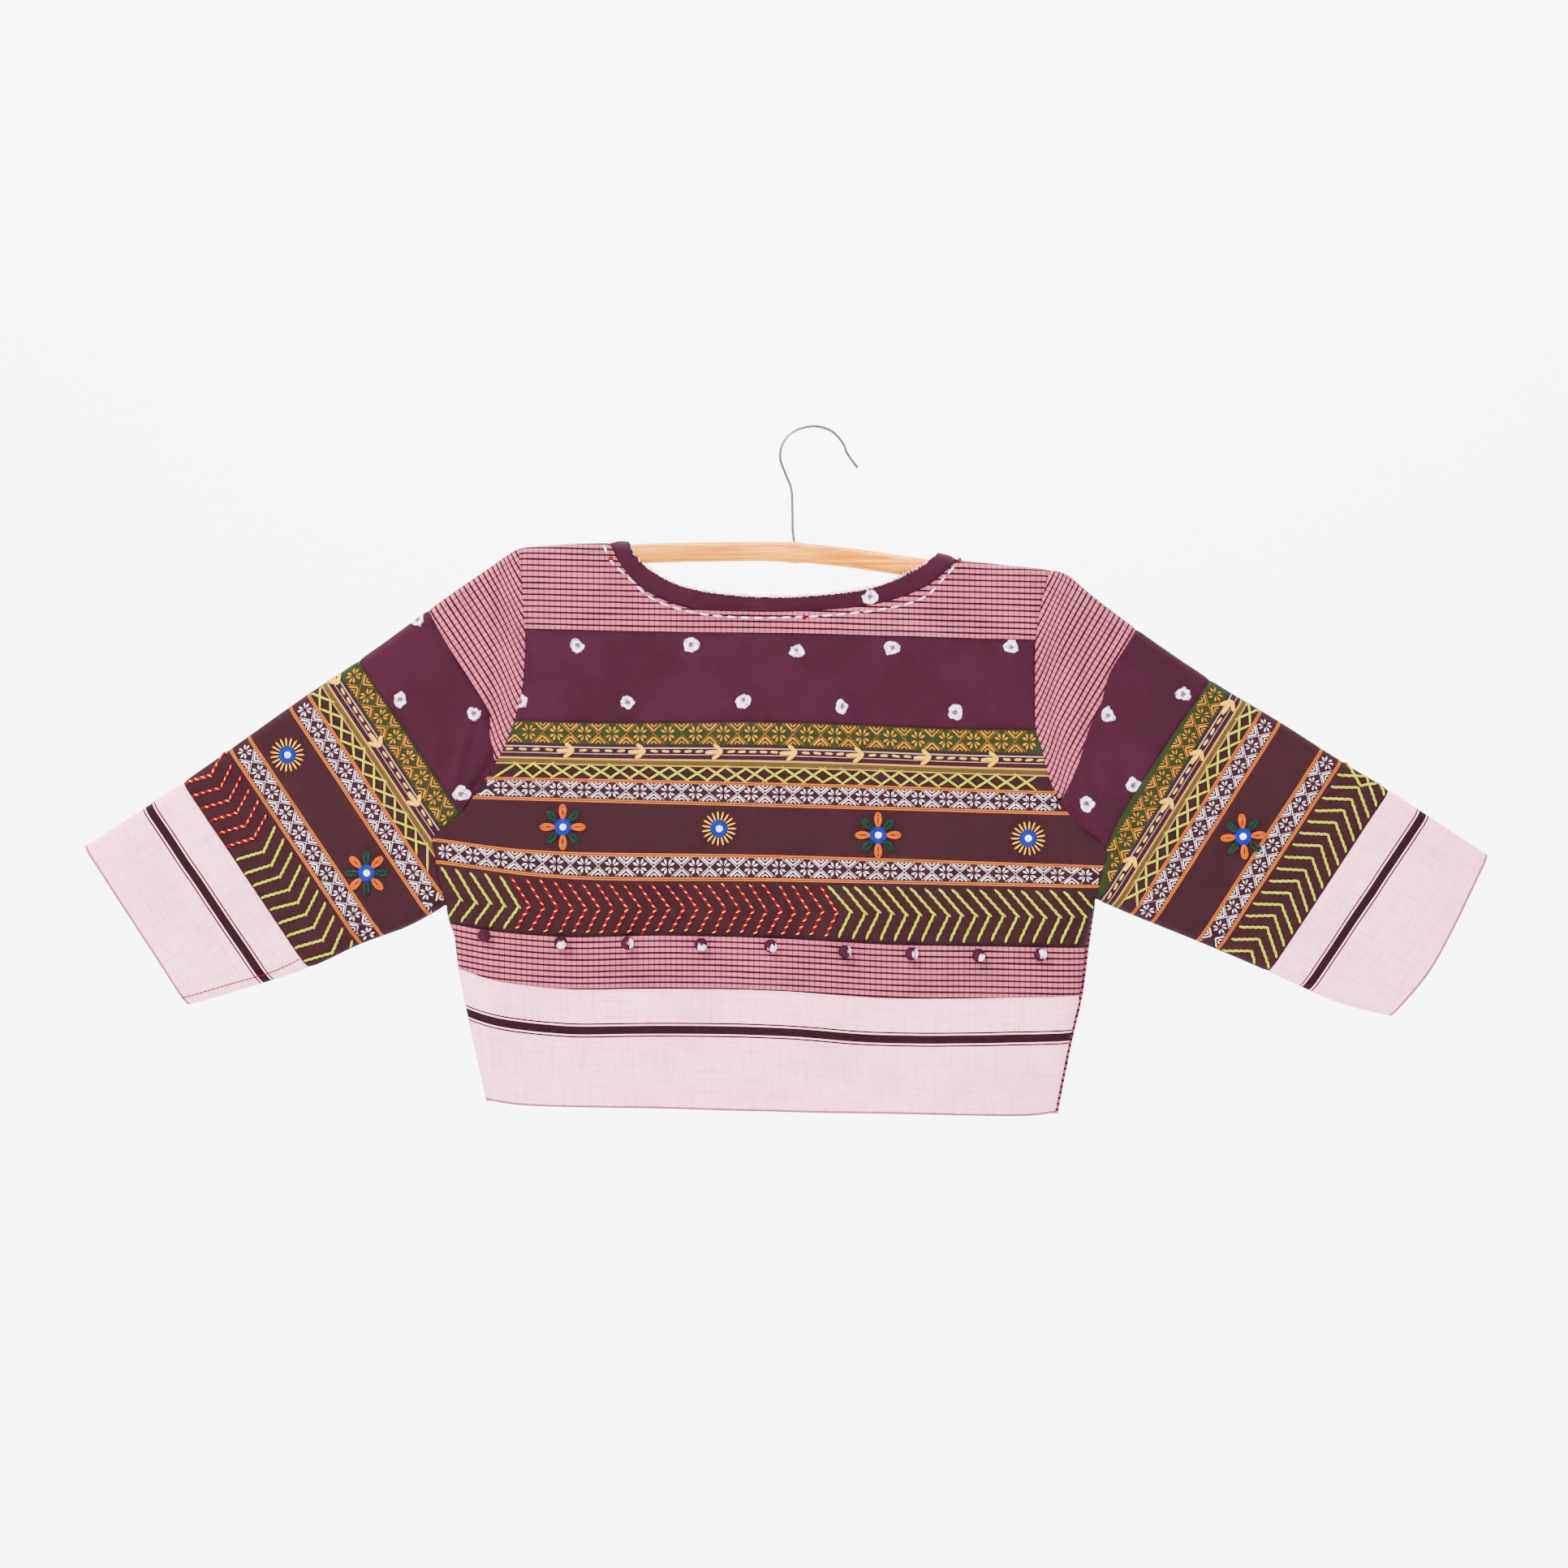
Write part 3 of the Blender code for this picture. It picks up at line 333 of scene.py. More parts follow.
def colour(name, description, *shade):
    """A colour that the sidebar shows, from sRGB parts of 0 to 255."""
    parts = [((c / 255 + 0.055) / 1.055) ** 2.4 if c > 10 else c / 3295 for c in shade]
    words = {"name": name, "description": description, "subtype": "COLOR", "size": 3}
    return bpy.props.FloatVectorProperty(default=parts, min=0.0, max=1.0, **words)


class CholiSizes(bpy.types.PropertyGroup):
    """Sizes of the cloth and of what is sewn on it."""

    wall: length("Cloth", "Thickness of the cloth", 1.1)
    mesh_step: length("Mesh step", "Spacing of the points on a panel", 2.3)
    seam_dip: length("Seam dip", "How far the cloth sinks at a seam", 0.7)
    seam_reach: length("Seam reach", "How far from a seam the cloth is still drawn in", 5.0)
    pucker: length("Pucker", "Height of the small waves beside a seam", 0.16)
    ripple: length("Ripple", "Height of each soft wave across the cloth", 0.16)
    star_rise: length("Star height", "How far the woven stars stand off the cloth", 0.5)
    thick_thread: length("Thick thread", "Radius of the thread of the large stitches", 0.85)
    mirror_radius: length("Mirror", "Radius of the small mirrors", 3.1)
    ball_radius: length("Ball", "Radius of the fabric balls", 4.8)


class CholiColours(bpy.types.PropertyGroup):
    """Colours of the cloths, threads and hanger."""

    check_pink: colour("Check pink", "Ground of the checked cloth", 141, 67, 84)
    check_line: colour("Check line", "Dark lines of the checked cloth", 8, 1, 3)
    check_grey: colour("Check grey", "Faint lines across the checked cloth", 70, 30, 42)
    purple: colour("Tie-dye purple", "Ground of the tie-dyed cloth", 41, 11, 24)
    dot_white: colour("Dot white", "Undyed dots", 226, 204, 222)
    border: colour("Border maroon", "Ground of the border cloth", 34, 13, 18)
    band_green: colour("Band green", "Ground under the gold stars", 26, 36, 14)
    olive: colour("Olive", "Outer fine stripes", 72, 58, 18)
    tan: colour("Tan", "Inner fine stripes", 150, 108, 52)
    stripe_orange: colour("Stripe orange", "Lines beside the white stars", 146, 76, 16)
    white: colour("White", "White thread", 222, 204, 212)
    pale_line: colour("Pale line", "Fine lines beside the dashes", 132, 116, 118)
    gold: colour("Gold", "Thread of the gold stars", 178, 108, 0)
    heather: colour("Heather pink", "Ground of the pale cloth", 243, 170, 188)
    heather_streak: colour("Heather streak", "Streaks in the pale cloth", 176, 112, 130)
    hem_stripe: colour("Hem stripe", "Dark stripe of the pale cloth", 27, 9, 14)
    selvage: colour("Selvage", "Free edge of the pale cloth", 90, 15, 32)
    yellow: colour("Yellow", "Yellow thread", 214, 160, 0)
    lime: colour("Lime", "Lime thread", 158, 166, 0)
    red: colour("Brick red", "Red thread", 92, 6, 20)
    cream: colour("Cream", "Cream thread", 236, 170, 40)
    orange: colour("Orange", "Orange thread", 154, 64, 0)
    green: colour("Dark green", "Green thread", 18, 38, 28)
    blue: colour("Blue", "Blue thread", 18, 26, 112)
    wood: colour("Wood", "Varnished wood", 220, 138, 0)
    wood_dark: colour("Wood grain", "Darker grain of the wood", 160, 84, 0)
    wire: colour("Wire", "Steel wire", 92, 88, 82)


def mm(name):
    """A size from the sidebar, in millimetres."""
    return getattr(bpy.context.scene.choli_sizes, name) / MM


def linked(name, data):
    """A new object that holds this data, in the scene."""
    made = bpy.data.objects.new(name, data)
    bpy.context.collection.objects.link(made)
    return made


# Curves in the flat X-Z plane


def smooth_line(points, steps):
    """A curve through the points, each stretch cut in steps: Catmull-Rom, whose tangent at a point is
    half the way between its two neighbours."""
    points = np.array(points, float)
    ends = np.vstack([2 * points[0] - points[1], points, 2 * points[-1] - points[-2]])
    t = np.linspace(0, 1, steps, endpoint=False)[None, :, None]
    a, b, c, d = (ends[k : len(ends) - 3 + k][:, None] for k in range(4))
    curve = 0.5 * (2 * b + (c - a) * t + (2 * a - 5 * b + 4 * c - d) * t**2 + (3 * b - a - 3 * c + d) * t**3)
    return np.vstack([curve.reshape(-1, points.shape[1]), points[-1:]])


def lengths(line):
    """The distance along the line of each of its points."""
    return np.concatenate([[0.0], np.cumsum(np.linalg.norm(np.diff(line, axis=0), axis=1))])


def left_of(way):
    """The direction a quarter turn to the left."""
    return np.array((-way[1], way[0]))


def heading(turn):
    """The unit vector at this angle."""
    return np.array((math.cos(turn), math.sin(turn)))


def round_points(count, closed=False):
    """Evenly spaced points on the unit circle. A closed round ends where it starts."""
    turns = np.linspace(0, 2 * math.pi, count + closed, endpoint=closed)
    return np.stack([np.cos(turns), np.sin(turns)], 1)


def at_distances(line, distances):
    """The points of the line at these distances along it."""
    along = lengths(line)
    return np.stack([np.interp(distances, along, line[:, k]) for k in range(line.shape[1])], 1)


def at_fractions(line, fractions):
    """The points of the line at these parts of its length."""
    return at_distances(line, np.asarray(fractions) * lengths(line)[-1])


def height_at(line, xs):
    """The height of a line that runs along X, at these values of x."""
    line = smooth_line(line, 6)
    return np.interp(xs, line[:, 0], line[:, 1])


def spaced(total, step, start=0.0, end=0.0):
    """Parts of the way from 0 to 1, a step apart, and closer within a rounding's radius of an end:
    there they are r * (1 - cos(angle)) in, for angles that share a quarter circle."""
    turn = 1 - np.cos(np.radians(np.linspace(0, 90, 7)))
    marks = np.linspace(0, total, max(2, int(round(total / step)) + 1))
    marks = marks[(marks > start * 1.15) | (start == 0)]
    marks = marks[(marks < total - end * 1.15) | (end == 0)]
    ends = start * turn if start else [0.0], total - end * turn if end else [total]
    marks = np.concatenate([marks, *ends])
    marks = np.unique(np.round(marks, 6))
    return marks / total


def outward(side):
    """Which way along X leads away from the middle."""
    return -1 if side == LEFT else 1


def armhole(side, layer, first="shoulder", last="underarm"):
    """The armhole seam between two of its named points. The front's is cut in by a half sine."""
    points = np.array([row[1 + 2 * side : 3 + 2 * side] for row in ARMHOLE])
    line = smooth_line(points, 6)
    if layer == FRONT:
        along = lengths(line)
        line[:, 0] -= outward(side) * FRONT_SCOOP * np.sin(math.pi * along / along[-1])
    names = [row[0] for row in ARMHOLE]
    return line[6 * names.index(first) : 6 * names.index(last) + 1]


# From the flat plane to the hanging layers


def turned_side(layer):
    """The right side's folded edge, which the front turns a little outward."""
    turn = FRONT_SIDE_TURN if layer == FRONT else 0
    return [(x + turn, z) for x, z in SIDE_RIGHT[:-1]] + [SIDE_RIGHT[-1]]


def folded_edges(layer):
    """The folded edges of a layer, each with the distance over which it rounds."""
    edges = (
        (SHOULDER_LEFT, TOP_RADIUS), (SLEEVE_TOP[LEFT], TOP_RADIUS), (SLEEVE_UNDER[LEFT], UNDER_RADIUS),
        (SIDE_LEFT, SIDE_RADIUS), (turned_side(layer), SIDE_RADIUS), (SLEEVE_UNDER[RIGHT], UNDER_RADIUS),
        (SLEEVE_TOP[RIGHT], TOP_RADIUS), (SHOULDER_RIGHT, TOP_RADIUS),
    )
    return [(smooth_line(points, 3), radius) for points, radius in edges]


def seam_lines(layer):
    """The seams of a layer."""
    seams = [armhole(side, layer) for side in (LEFT, RIGHT)]
    for side in (LEFT, RIGHT):
        seams += [np.array(table[side]) for table in (CAP_SEAM, GOLD_SLEEVE_SEAM, SLEEVE_HEM_SEAM)]
    across = (YOKE_SEAM, GOLD_SEAM, BORDER_SEAM, WAIST_SEAM, BACK_NECK_SEAM)
    return seams + [smooth_line(seam, 3) for seam in (across if layer == BACK else (FRONT_NECK_SEAM,))]


def nearest(points, lines):
    """For each point the smallest distance to a line, as a part of that line's reach and at most 1, the
    left-hand normal of the line there, and how far along the line it lies."""
    best = np.ones(len(points))
    normal = np.zeros((len(points), 2))
    along = np.zeros(len(points))
    for line, reach in lines:
        steps = np.diff(line, axis=0)
        sides = np.stack([-steps[:, 1], steps[:, 0]], 1)
        sides /= np.linalg.norm(sides, axis=1, keepdims=True)
        corners = np.vstack([sides[:1], sides[:-1] + sides[1:], sides[-1:]])
        corners /= np.linalg.norm(corners, axis=1, keepdims=True)
        starts = lengths(line)
        for k, (start, step) in enumerate(zip(line[:-1], steps)):
            middle = start + step / 2
            near = np.flatnonzero((abs(points - middle) < abs(step) / 2 + reach).all(1))
            offset = points[near] - start
            u = np.clip(offset @ step / (step @ step), 0, 1)[:, None]
            part = np.linalg.norm(offset - u * step, axis=1) / reach
            nearer = part < best[near]
            chosen = near[nearer]
            best[chosen] = part[nearer]
            normal[chosen] = (corners[k] + u * (corners[k + 1] - corners[k]))[nearer]
            along[chosen] = starts[k] + u[nearer, 0] * (starts[k + 1] - starts[k])
    return best, normal, along


def smooth_step(t):
    """From 0 to 1 as t * t * (3 - 2 * t)."""
    t = np.clip(t, 0, 1)
    return t * t * (3 - 2 * t)


def depth(points, layer):
    """How far the layer stands off the middle plane: a depth by height, blended to the sleeve's depth,
    plus for each fold its height * exp(-(distance / half width)**2) * sin(pi * part of its length)."""
    table = np.array(DEPTHS)[::-1]
    body = np.interp(points[:, 1], table[:, 0], table[:, 1 if layer == BACK else 2])
    out = smooth_step((abs(points[:, 0] - MIDDLE_X) - BODY_HALF_WIDTH) / SLEEVE_BLEND)
    total = body + (SLEEVE_DEPTH - body) * out
    for x0, z0, x1, z1, width, height in FOLDS[layer]:
        start = np.array((x0, z0))
        step = np.array((x1, z1)) - start
        along = ((points - start) @ step) / (step @ step)
        across = (points - start) @ left_of(step) / np.linalg.norm(step)
        total += height * np.exp(-((across / width) ** 2)) * np.sin(math.pi * np.clip(along, 0, 1))
    return total


def ripple(points, layer):
    """Soft unevenness: ten plane waves of seeded directions, each 24 to 90 mm long."""
    rng = np.random.default_rng(11 + layer)
    turns = rng.uniform(0, math.pi, 10)
    waves = 2 * math.pi / rng.uniform(24, 90, 10)
    shifts = rng.uniform(0, 2 * math.pi, 10)
    across = points @ np.stack([np.cos(turns), np.sin(turns)])
    return mm("ripple") * np.sin(across * waves + shifts).sum(1)


def drawn_in(points, layer):
    """What a seam does to the cloth: a dip that fades with distance, and small waves along it."""
    part, _, along = nearest(points, [(line, SEAM_LOOK) for line in seam_lines(layer)])
    distance = SEAM_LOOK * part
    dip = -mm("seam_dip") * np.exp(-((distance / mm("seam_reach") * 2) ** 2))
    waves = mm("pucker") * np.sin(along * 0.83 + 0.9 * np.sin(along * 0.19))
    return dip + waves * np.exp(-distance / PUCKER_FADE) * (part < 1)


def lifted(points, layer, over=0.0, cloth_shape=True):
    """Points that stand over the flat points' cloth. A point at the part t of an edge's rounding stands
    off the middle plane by depth * sqrt(1 - (1 - t)**2), and the offset turns outward as the arc does."""
    flat = np.asarray(points, float).reshape(-1, 2)
    part, inward, _ = nearest(flat, folded_edges(layer))
    turn = 1 - part
    level = np.sqrt(np.clip(1 - turn**2, 0, 1))
    over = np.broadcast_to(over, np.asarray(points).shape[:-1]).reshape(-1)
    if cloth_shape:
        over = over + ripple(flat, layer) * level + drawn_in(flat, layer)
    stand = depth(flat, layer) * level
    moved = flat - inward * (turn * over)[:, None]
    y = np.maximum(stand + level * over, 0.05)
    y[part == 0] = 0.0
    return np.stack([moved[:, 0], layer * y, moved[:, 1]], 1).reshape(*np.asarray(points).shape[:-1], 3)


# Where a point lies on its cloth: u across and v down from the cloth's first seam


def levels(xs):
    """The depths of the border cloth's level lines, and the lines' heights at these values of x."""
    return [row[0] for row in BORDER_LEVELS], [height_at(row[1], xs) for row in BORDER_LEVELS]


def back_place(uv):
    """The flat point of the back at u = x and a depth v in the border cloth, between the level lines."""
    xs = uv[..., 0]
    depths, heights = levels(xs)
    z = heights[0] - np.minimum(uv[..., 1], 0)
    for k in range(len(depths) - 1):
        part = np.clip((uv[..., 1] - depths[k]) / (depths[k + 1] - depths[k]), 0, 1)
        z = z + part * (heights[k + 1] - heights[k])
    return np.stack([xs, z - np.maximum(uv[..., 1] - depths[-1], 0)], -1)


def back_uv(points):
    """The u and v in the border cloth of flat points of the back: the inverse of back_place."""
    xs, zs = points[..., 0], points[..., 1]
    depths, heights = levels(xs)
    v = np.minimum(heights[0] - zs, 0)
    for k in range(len(depths) - 1):
        part = np.clip((heights[k] - zs) / (heights[k] - heights[k + 1]), 0, 1)
        v = v + part * (depths[k + 1] - depths[k])
    return np.stack([xs, v + np.maximum(heights[-1] - zs, 0)], -1)


def sleeve_corners(side):
    """The top and low ends of a sleeve's gold seam and of its hem seam."""
    gold, hem = np.array(GOLD_SLEEVE_SEAM[side]), np.array(SLEEVE_HEM_SEAM[side])
    return gold[0], gold[-1], hem[0], hem[-1]


def sleeve_place(side, uv):
    """The flat point of a sleeve at v along it and u down from its top edge: on the line between the
    two edges at the part v / border depth, u from its top."""
    top_gold, low_gold, top_hem, low_hem = sleeve_corners(side)
    s = uv[..., 1:] / BORDER_DEPTH
    top = top_gold + s * (top_hem - top_gold)
    way = low_gold + s * (low_hem - low_gold) - top
    way /= np.linalg.norm(way, axis=-1, keepdims=True)
    return top + way * abs(uv[..., :1])


def sleeve_uv(side, points):
    """The inverse of sleeve_place, by four steps of Newton's rule on the part along the sleeve."""
    top_gold, low_gold, top_hem, low_hem = sleeve_corners(side)
    d_top, way = top_hem - top_gold, low_gold - top_gold
    d_way = (low_hem - top_hem) - way
    offset = points - top_gold

    def cross(a, b):
        return a[..., 0] * b[..., 1] - a[..., 1] * b[..., 0]

    s = np.zeros(points.shape[:-1])
    for _ in range(4):
        here = offset - s[..., None] * d_top
        line = way + s[..., None] * d_way
        value = cross(here, line)
        slope = cross(-d_top + 0 * here, line) + cross(here, d_way + 0 * here)
        s = s - value / slope
    u = np.linalg.norm(offset - s[..., None] * d_top, axis=-1)
    return np.stack([u, s * BORDER_DEPTH], -1)


# Panels


def coons(left, right, top, bottom, across, down):
    """A flat grid between four edges: the blend of the two sides, plus the blend of the top and bottom,
    less the blend of the four corners. Rows run down the sides and columns run across."""
    u = across[None, :, None]
    v = down[:, None, None]
    sides = (1 - u) * left[:, None] + u * right[:, None]
    ends = (1 - v) * top[None] + v * bottom[None]
    corners = (1 - u) * ((1 - v) * left[0] + v * left[-1]) + u * ((1 - v) * right[0] + v * right[-1])
    return sides + ends - corners


def mesh_step():
    return mm("mesh_step") * 1.0


def grid_between(left, right, top, bottom, across, down):
    """The flat grid between four lines, each cut at these parts of its length."""
    sides = [at_fractions(line, down) for line in (left, right)]
    ends = [at_fractions(line, across) for line in (top, bottom)]
    return coons(*sides, *ends, across, down)


def strip_grid(left, right, top, bottom, fold):
    """A flat grid of evenly spaced points between four lines, closer together beside a folded side."""
    down = spaced((lengths(left)[-1] + lengths(right)[-1]) / 2, mesh_step())
    across = spaced((lengths(top)[-1] + lengths(bottom)[-1]) / 2, mesh_step(), fold, fold)
    return grid_between(left, right, top, bottom, across, down)


def fine_line(line):
    """A line that runs along X, at 160 even values of x."""
    xs = np.linspace(line[0][0], line[-1][0], 160)
    return np.stack([xs, height_at(line, xs)], 1)


def yoke_top():
    """The yoke's top edge: the left shoulder, the neck seam and the right shoulder."""
    left, right = (smooth_line(line, 4)[::-1] for line in (SHOULDER_LEFT, SHOULDER_RIGHT))
    left, right = left[left[:, 0] < -144.5], right[right[:, 0] > 101]
    return np.vstack([left, smooth_line(BACK_NECK_SEAM, 8), right])


# Columns: panel, its top and bottom seam, its stretch of the armhole, its stretches of the folded sides
BACK_PANELS = (
    ("yoke", None, YOKE_SEAM, ("shoulder", "yoke_seam"), None),
    ("bandhani", YOKE_SEAM, GOLD_SEAM, ("yoke_seam", "gold_seam"), None),
    ("border", GOLD_SEAM, BORDER_SEAM, ("gold_seam", "underarm"), ((1, 7), (1, 7))),
    ("waist_band", BORDER_SEAM, WAIST_SEAM, None, ((6, 19), (6, 13))),
    ("hem_band", WAIST_SEAM, HEM, None, ((18, None), (12, None))),
)


def back_grid(name):
    """The flat grid of one panel of the back."""
    _, top, bottom, hole, folds = next(row for row in BACK_PANELS if row[0] == name)
    sides = []
    for side, edge in ((LEFT, smooth_line(SIDE_LEFT, 6)), (RIGHT, smooth_line(SIDE_RIGHT, 6)[::-1])):
        parts = [armhole(side, BACK, *hole)] if hole else []
        if folds:
            parts.append(edge[slice(*folds[side])])
        sides.append(np.vstack(parts))
    top = fine_line(top) if top else yoke_top()
    return strip_grid(*sides, top, fine_line(bottom), SIDE_RADIUS if folds else 0)


def sleeve_lines(side, layer):
    """The lines across one layer of a sleeve, each from its top edge down: the armhole to the cap's
    tip, the cap seam, the gold seam and the armhole below it, the hem seam and the cuff."""
    cap_hole = armhole(side, layer, "shoulder", CAP_TIP[side])
    low_hole = armhole(side, layer, BANDHANI_TIP[side], "underarm")
    down = lengths(cap_hole) / lengths(cap_hole)[-1]
    cap_seam = at_fractions(smooth_line(CAP_SEAM[side], 6), down)
    gold_seam = at_fractions(smooth_line(GOLD_SLEEVE_SEAM[side], 6), down)
    if layer == FRONT:
        for seam, tip in ((cap_seam, CAP_TIP[side]), (gold_seam, BANDHANI_TIP[side])):
            shift = armhole(side, FRONT, tip, tip)[0] - armhole(side, BACK, tip, tip)[0]
            seam += down[:, None] ** 2 * shift
    border_start = np.vstack([gold_seam, low_hole[1:]])
    hem_seam = at_fractions(np.array(SLEEVE_HEM_SEAM[side]), (0.0, 0.5, 1.0))
    return cap_hole, cap_seam, gold_seam, border_start, hem_seam, smooth_line(CUFF[side], 6)


def edge_between(edge, start, end):
    """The stretch of an edge between its two points nearest to start and end."""
    marks = [int(np.argmin(np.linalg.norm(edge - p, axis=1))) for p in (start, end)]
    if marks[0] < marks[1]:
        return edge[marks[0] : marks[1] + 1]
    return edge[marks[1] : marks[0] + 1][::-1]


# Columns: panel, its first and last line across the sleeve, whether it runs all round
SLEEVE_PANELS = (
    ("cap", 0, 1, False),
    ("bandhani", 1, 2, False),
    ("border", 3, 4, True),
    ("hem_band", 4, 5, True),
)


def sleeve_grids(side, name):
    """The flat grids of one sleeve panel: back and front. Columns run from the top edge down."""
    _, first, last, ring = next(row for row in SLEEVE_PANELS if row[0] == name)
    top_edge = smooth_line(SLEEVE_TOP[side], 6)
    grids = []
    for layer in (BACK, FRONT):
        lines = sleeve_lines(side, layer)
        start, end = lines[first], lines[last]
        low = smooth_line(SLEEVE_UNDER[side], 6) if ring else armhole(side, layer)
        top = edge_between(top_edge, start[0], end[0])
        low = edge_between(low, start[-1], end[-1])
        if name == "cap":
            start, end = (line[lengths(line) < lengths(line)[-1] - 2.0] for line in (start, end))
            low = np.array([start[-1], end[-1]])
        if layer == BACK:
            long = (lengths(top)[-1] + lengths(low)[-1]) / 2 if ring else lengths(top)[-1]
            wide = (lengths(start)[-1] + lengths(end)[-1]) / 2
            along = spaced(long, mesh_step())
            down = spaced(wide, mesh_step(), TOP_RADIUS, UNDER_RADIUS if ring else 0)
        grids.append(grid_between(top, low, start, end, down, along))
    return grids


def parted(grid):
    """The grid with its edges drawn in by the half gap of a seam."""
    grid = grid.copy()
    grid[0, :, 1] -= HALF_GAP
    grid[-1, :, 1] += HALF_GAP
    grid[:, 0, 0] += HALF_GAP
    grid[:, -1, 0] -= HALF_GAP
    return grid


# Meshes


def keep_values(mesh, name, values):
    """Stores three numbers for each point under this name, for the materials to read."""
    stored = mesh.attributes.new(name, "FLOAT_VECTOR", "POINT")
    stored.data.foreach_set("vector", np.asarray(values, float).ravel())


def piece_mesh(name, verts, faces, look, cloth):
    """An object with these vertices in millimetres and groups of faces, each an array of one size."""
    mesh = bpy.data.meshes.new(name)
    verts = np.asarray(verts, float).reshape(-1, 3)
    mesh.vertices.add(len(verts))
    mesh.vertices.foreach_set("co", (verts * MM).ravel())
    mesh.loops.add(sum(group.size for group in faces))
    mesh.loops.foreach_set("vertex_index", np.concatenate([group.ravel() for group in faces]))
    sides = np.concatenate([np.full(len(group), group.shape[1]) for group in faces])
    mesh.polygons.add(len(sides))
    mesh.polygons.foreach_set("loop_start", np.concatenate([[0], np.cumsum(sides)[:-1]]))
    mesh.update(calc_edges=True)
    mesh.validate()
    keep_values(mesh, "cloth", cloth)
    mesh.materials.append(material(look))
    mesh.shade_smooth()
    made = linked(name, mesh)
    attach(made, "root")
    return made


def volume(verts, faces):
    """The signed volume inside four-sided faces, each cut in two triangles."""
    a, b, c, d = (verts[faces[:, k]] for k in range(4))
    return np.einsum("ij,ij->", a, np.cross(b, c)) + np.einsum("ij,ij->", a, np.cross(c, d))


# The same face from the other side, with its first corner kept
TURNED_QUAD, TURNED_TRIANGLE = [0, 3, 2, 1], [0, 2, 1]


def between(a, b):
    """Four-sided faces between two equal grids of point numbers."""
    return np.stack([a[..., :-1], b[..., :-1], b[..., 1:], a[..., 1:]], -1).reshape(-1, 4)


def round_faces(rows, columns):
    """The faces of a grid of points whose columns run round, as quads and as two fans of triangles to
    the poles, which are the two points after the grid's."""
    index = np.arange(rows * columns).reshape(rows, columns)
    index = np.concatenate([index, index[:, :1]], 1)
    first, last = index[0], index[-1]
    low, high = np.full((2, columns), rows * columns) + [[0], [1]]
    fans = np.stack([low, first[1:], first[:-1]], -1), np.stack([high, last[:-1], last[1:]], -1)
    return between(index[:-1], index[1:])[:, TURNED_QUAD], np.vstack(fans)


def panel(name, outer, inner, cloth, look, ring=False):
    """A closed wall between an outer and an inner grid of points. A ring joins its last column to its
    first one."""
    rows, columns = outer.shape[:2]
    verts = np.vstack([outer.reshape(-1, 3), inner.reshape(-1, 3)])
    index = np.arange(2 * rows * columns).reshape(2, rows, columns)
    if ring:
        index = np.concatenate([index, index[:, :, :1]], 2)
    over, under = index
    pairs = [(over[:-1], over[1:]), (under[1:], under[:-1]), (under[:1], over[:1]), (over[-1:], under[-1:])]
    if not ring:
        pairs += [(over[:, :1].T, under[:, :1].T), (under[:, -1:].T, over[:, -1:].T)]
    faces = np.vstack([between(*pair) for pair in pairs])
    if volume(verts, faces) < 0:
        faces = faces[:, ::-1]
    made = piece_mesh(f"{name}_cloth", verts, [faces], look, np.vstack([cloth.reshape(-1, 3)] * 2))
    gaps = verts[:, None, [0, 2]] - np.array(DOTS)
    near = np.linalg.norm(gaps, axis=-1).argmin(1)
    gap = np.pad(gaps[np.arange(len(verts)), near], ((0, 0), (0, 1)))
    keep_values(made.data, "dot", gap)
    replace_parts(made, name)


def cloth_values(uv, points, free_edge=None):
    """What a cloth's material reads at each point: u, v and the distance from the nearest dot, or from
    the free edge."""
    flat = points.reshape(-1, 2)
    if free_edge is None:
        away = np.full(len(flat), EDGE_REACH)
        for dot in DOTS:
            away = np.minimum(away, np.linalg.norm(flat - dot, axis=1))
    else:
        away = EDGE_REACH * nearest(flat, [(smooth_line(free_edge, 6), EDGE_REACH)])[0]
    return np.concatenate([uv, away.reshape(*points.shape[:-1], 1)], -1)


def layer_panel(name, layer, grid, uv, look, rise=0.0, free_edge=None):
    """A panel that lies in one layer."""
    outer, inner = (lifted(grid, layer, rise - under) for under in (0, mm("wall")))
    panel(name, outer, inner, cloth_values(uv, grid, free_edge), look)


CUTS = {}  # the flat width, length and area of each panel


def note_cut(name, grids):
    """Keeps a panel's flat size: its greatest width and length, and its area."""
    area = 0.0
    wide = 0.0
    for grid in grids:
        a = grid[1:, 1:] - grid[:-1, :-1]
        b = grid[1:, :-1] - grid[:-1, 1:]
        area += abs(a[..., 0] * b[..., 1] - a[..., 1] * b[..., 0]).sum() / 2
        wide += np.linalg.norm(np.diff(grid, axis=1), axis=2).sum(1).max()
    tall = max(np.linalg.norm(np.diff(grid, axis=0), axis=2).sum(0).max() for grid in grids)
    CUTS[name] = (wide * MM, tall * MM, area * MM * MM)


PANEL_LOOKS = {
    "yoke": "checked cloth", "cap": "checked cloth", "waist_band": "checked cloth",
    "bandhani": "tie-dyed cloth", "border": "border cloth", "hem_band": "heathered cloth",
}


def back_panels():
    """The five panels of the back."""
    for name, top, bottom, _, _ in BACK_PANELS:
        grid = back_grid(name)
        if name == "border":
            uv = back_uv(grid)
        else:
            uv = np.stack([grid[..., 0], height_at(top or bottom, grid[..., 0]) - grid[..., 1]], -1)
        note_cut(f"back_{name}", [grid])
        grid = parted(grid)
        if name == "yoke":
            grid[0, :, 1] += HALF_GAP
        free_edge = HEM if name == "hem_band" else None
        layer_panel(f"back_{name}", BACK, grid, uv, PANEL_LOOKS[name], free_edge=free_edge)


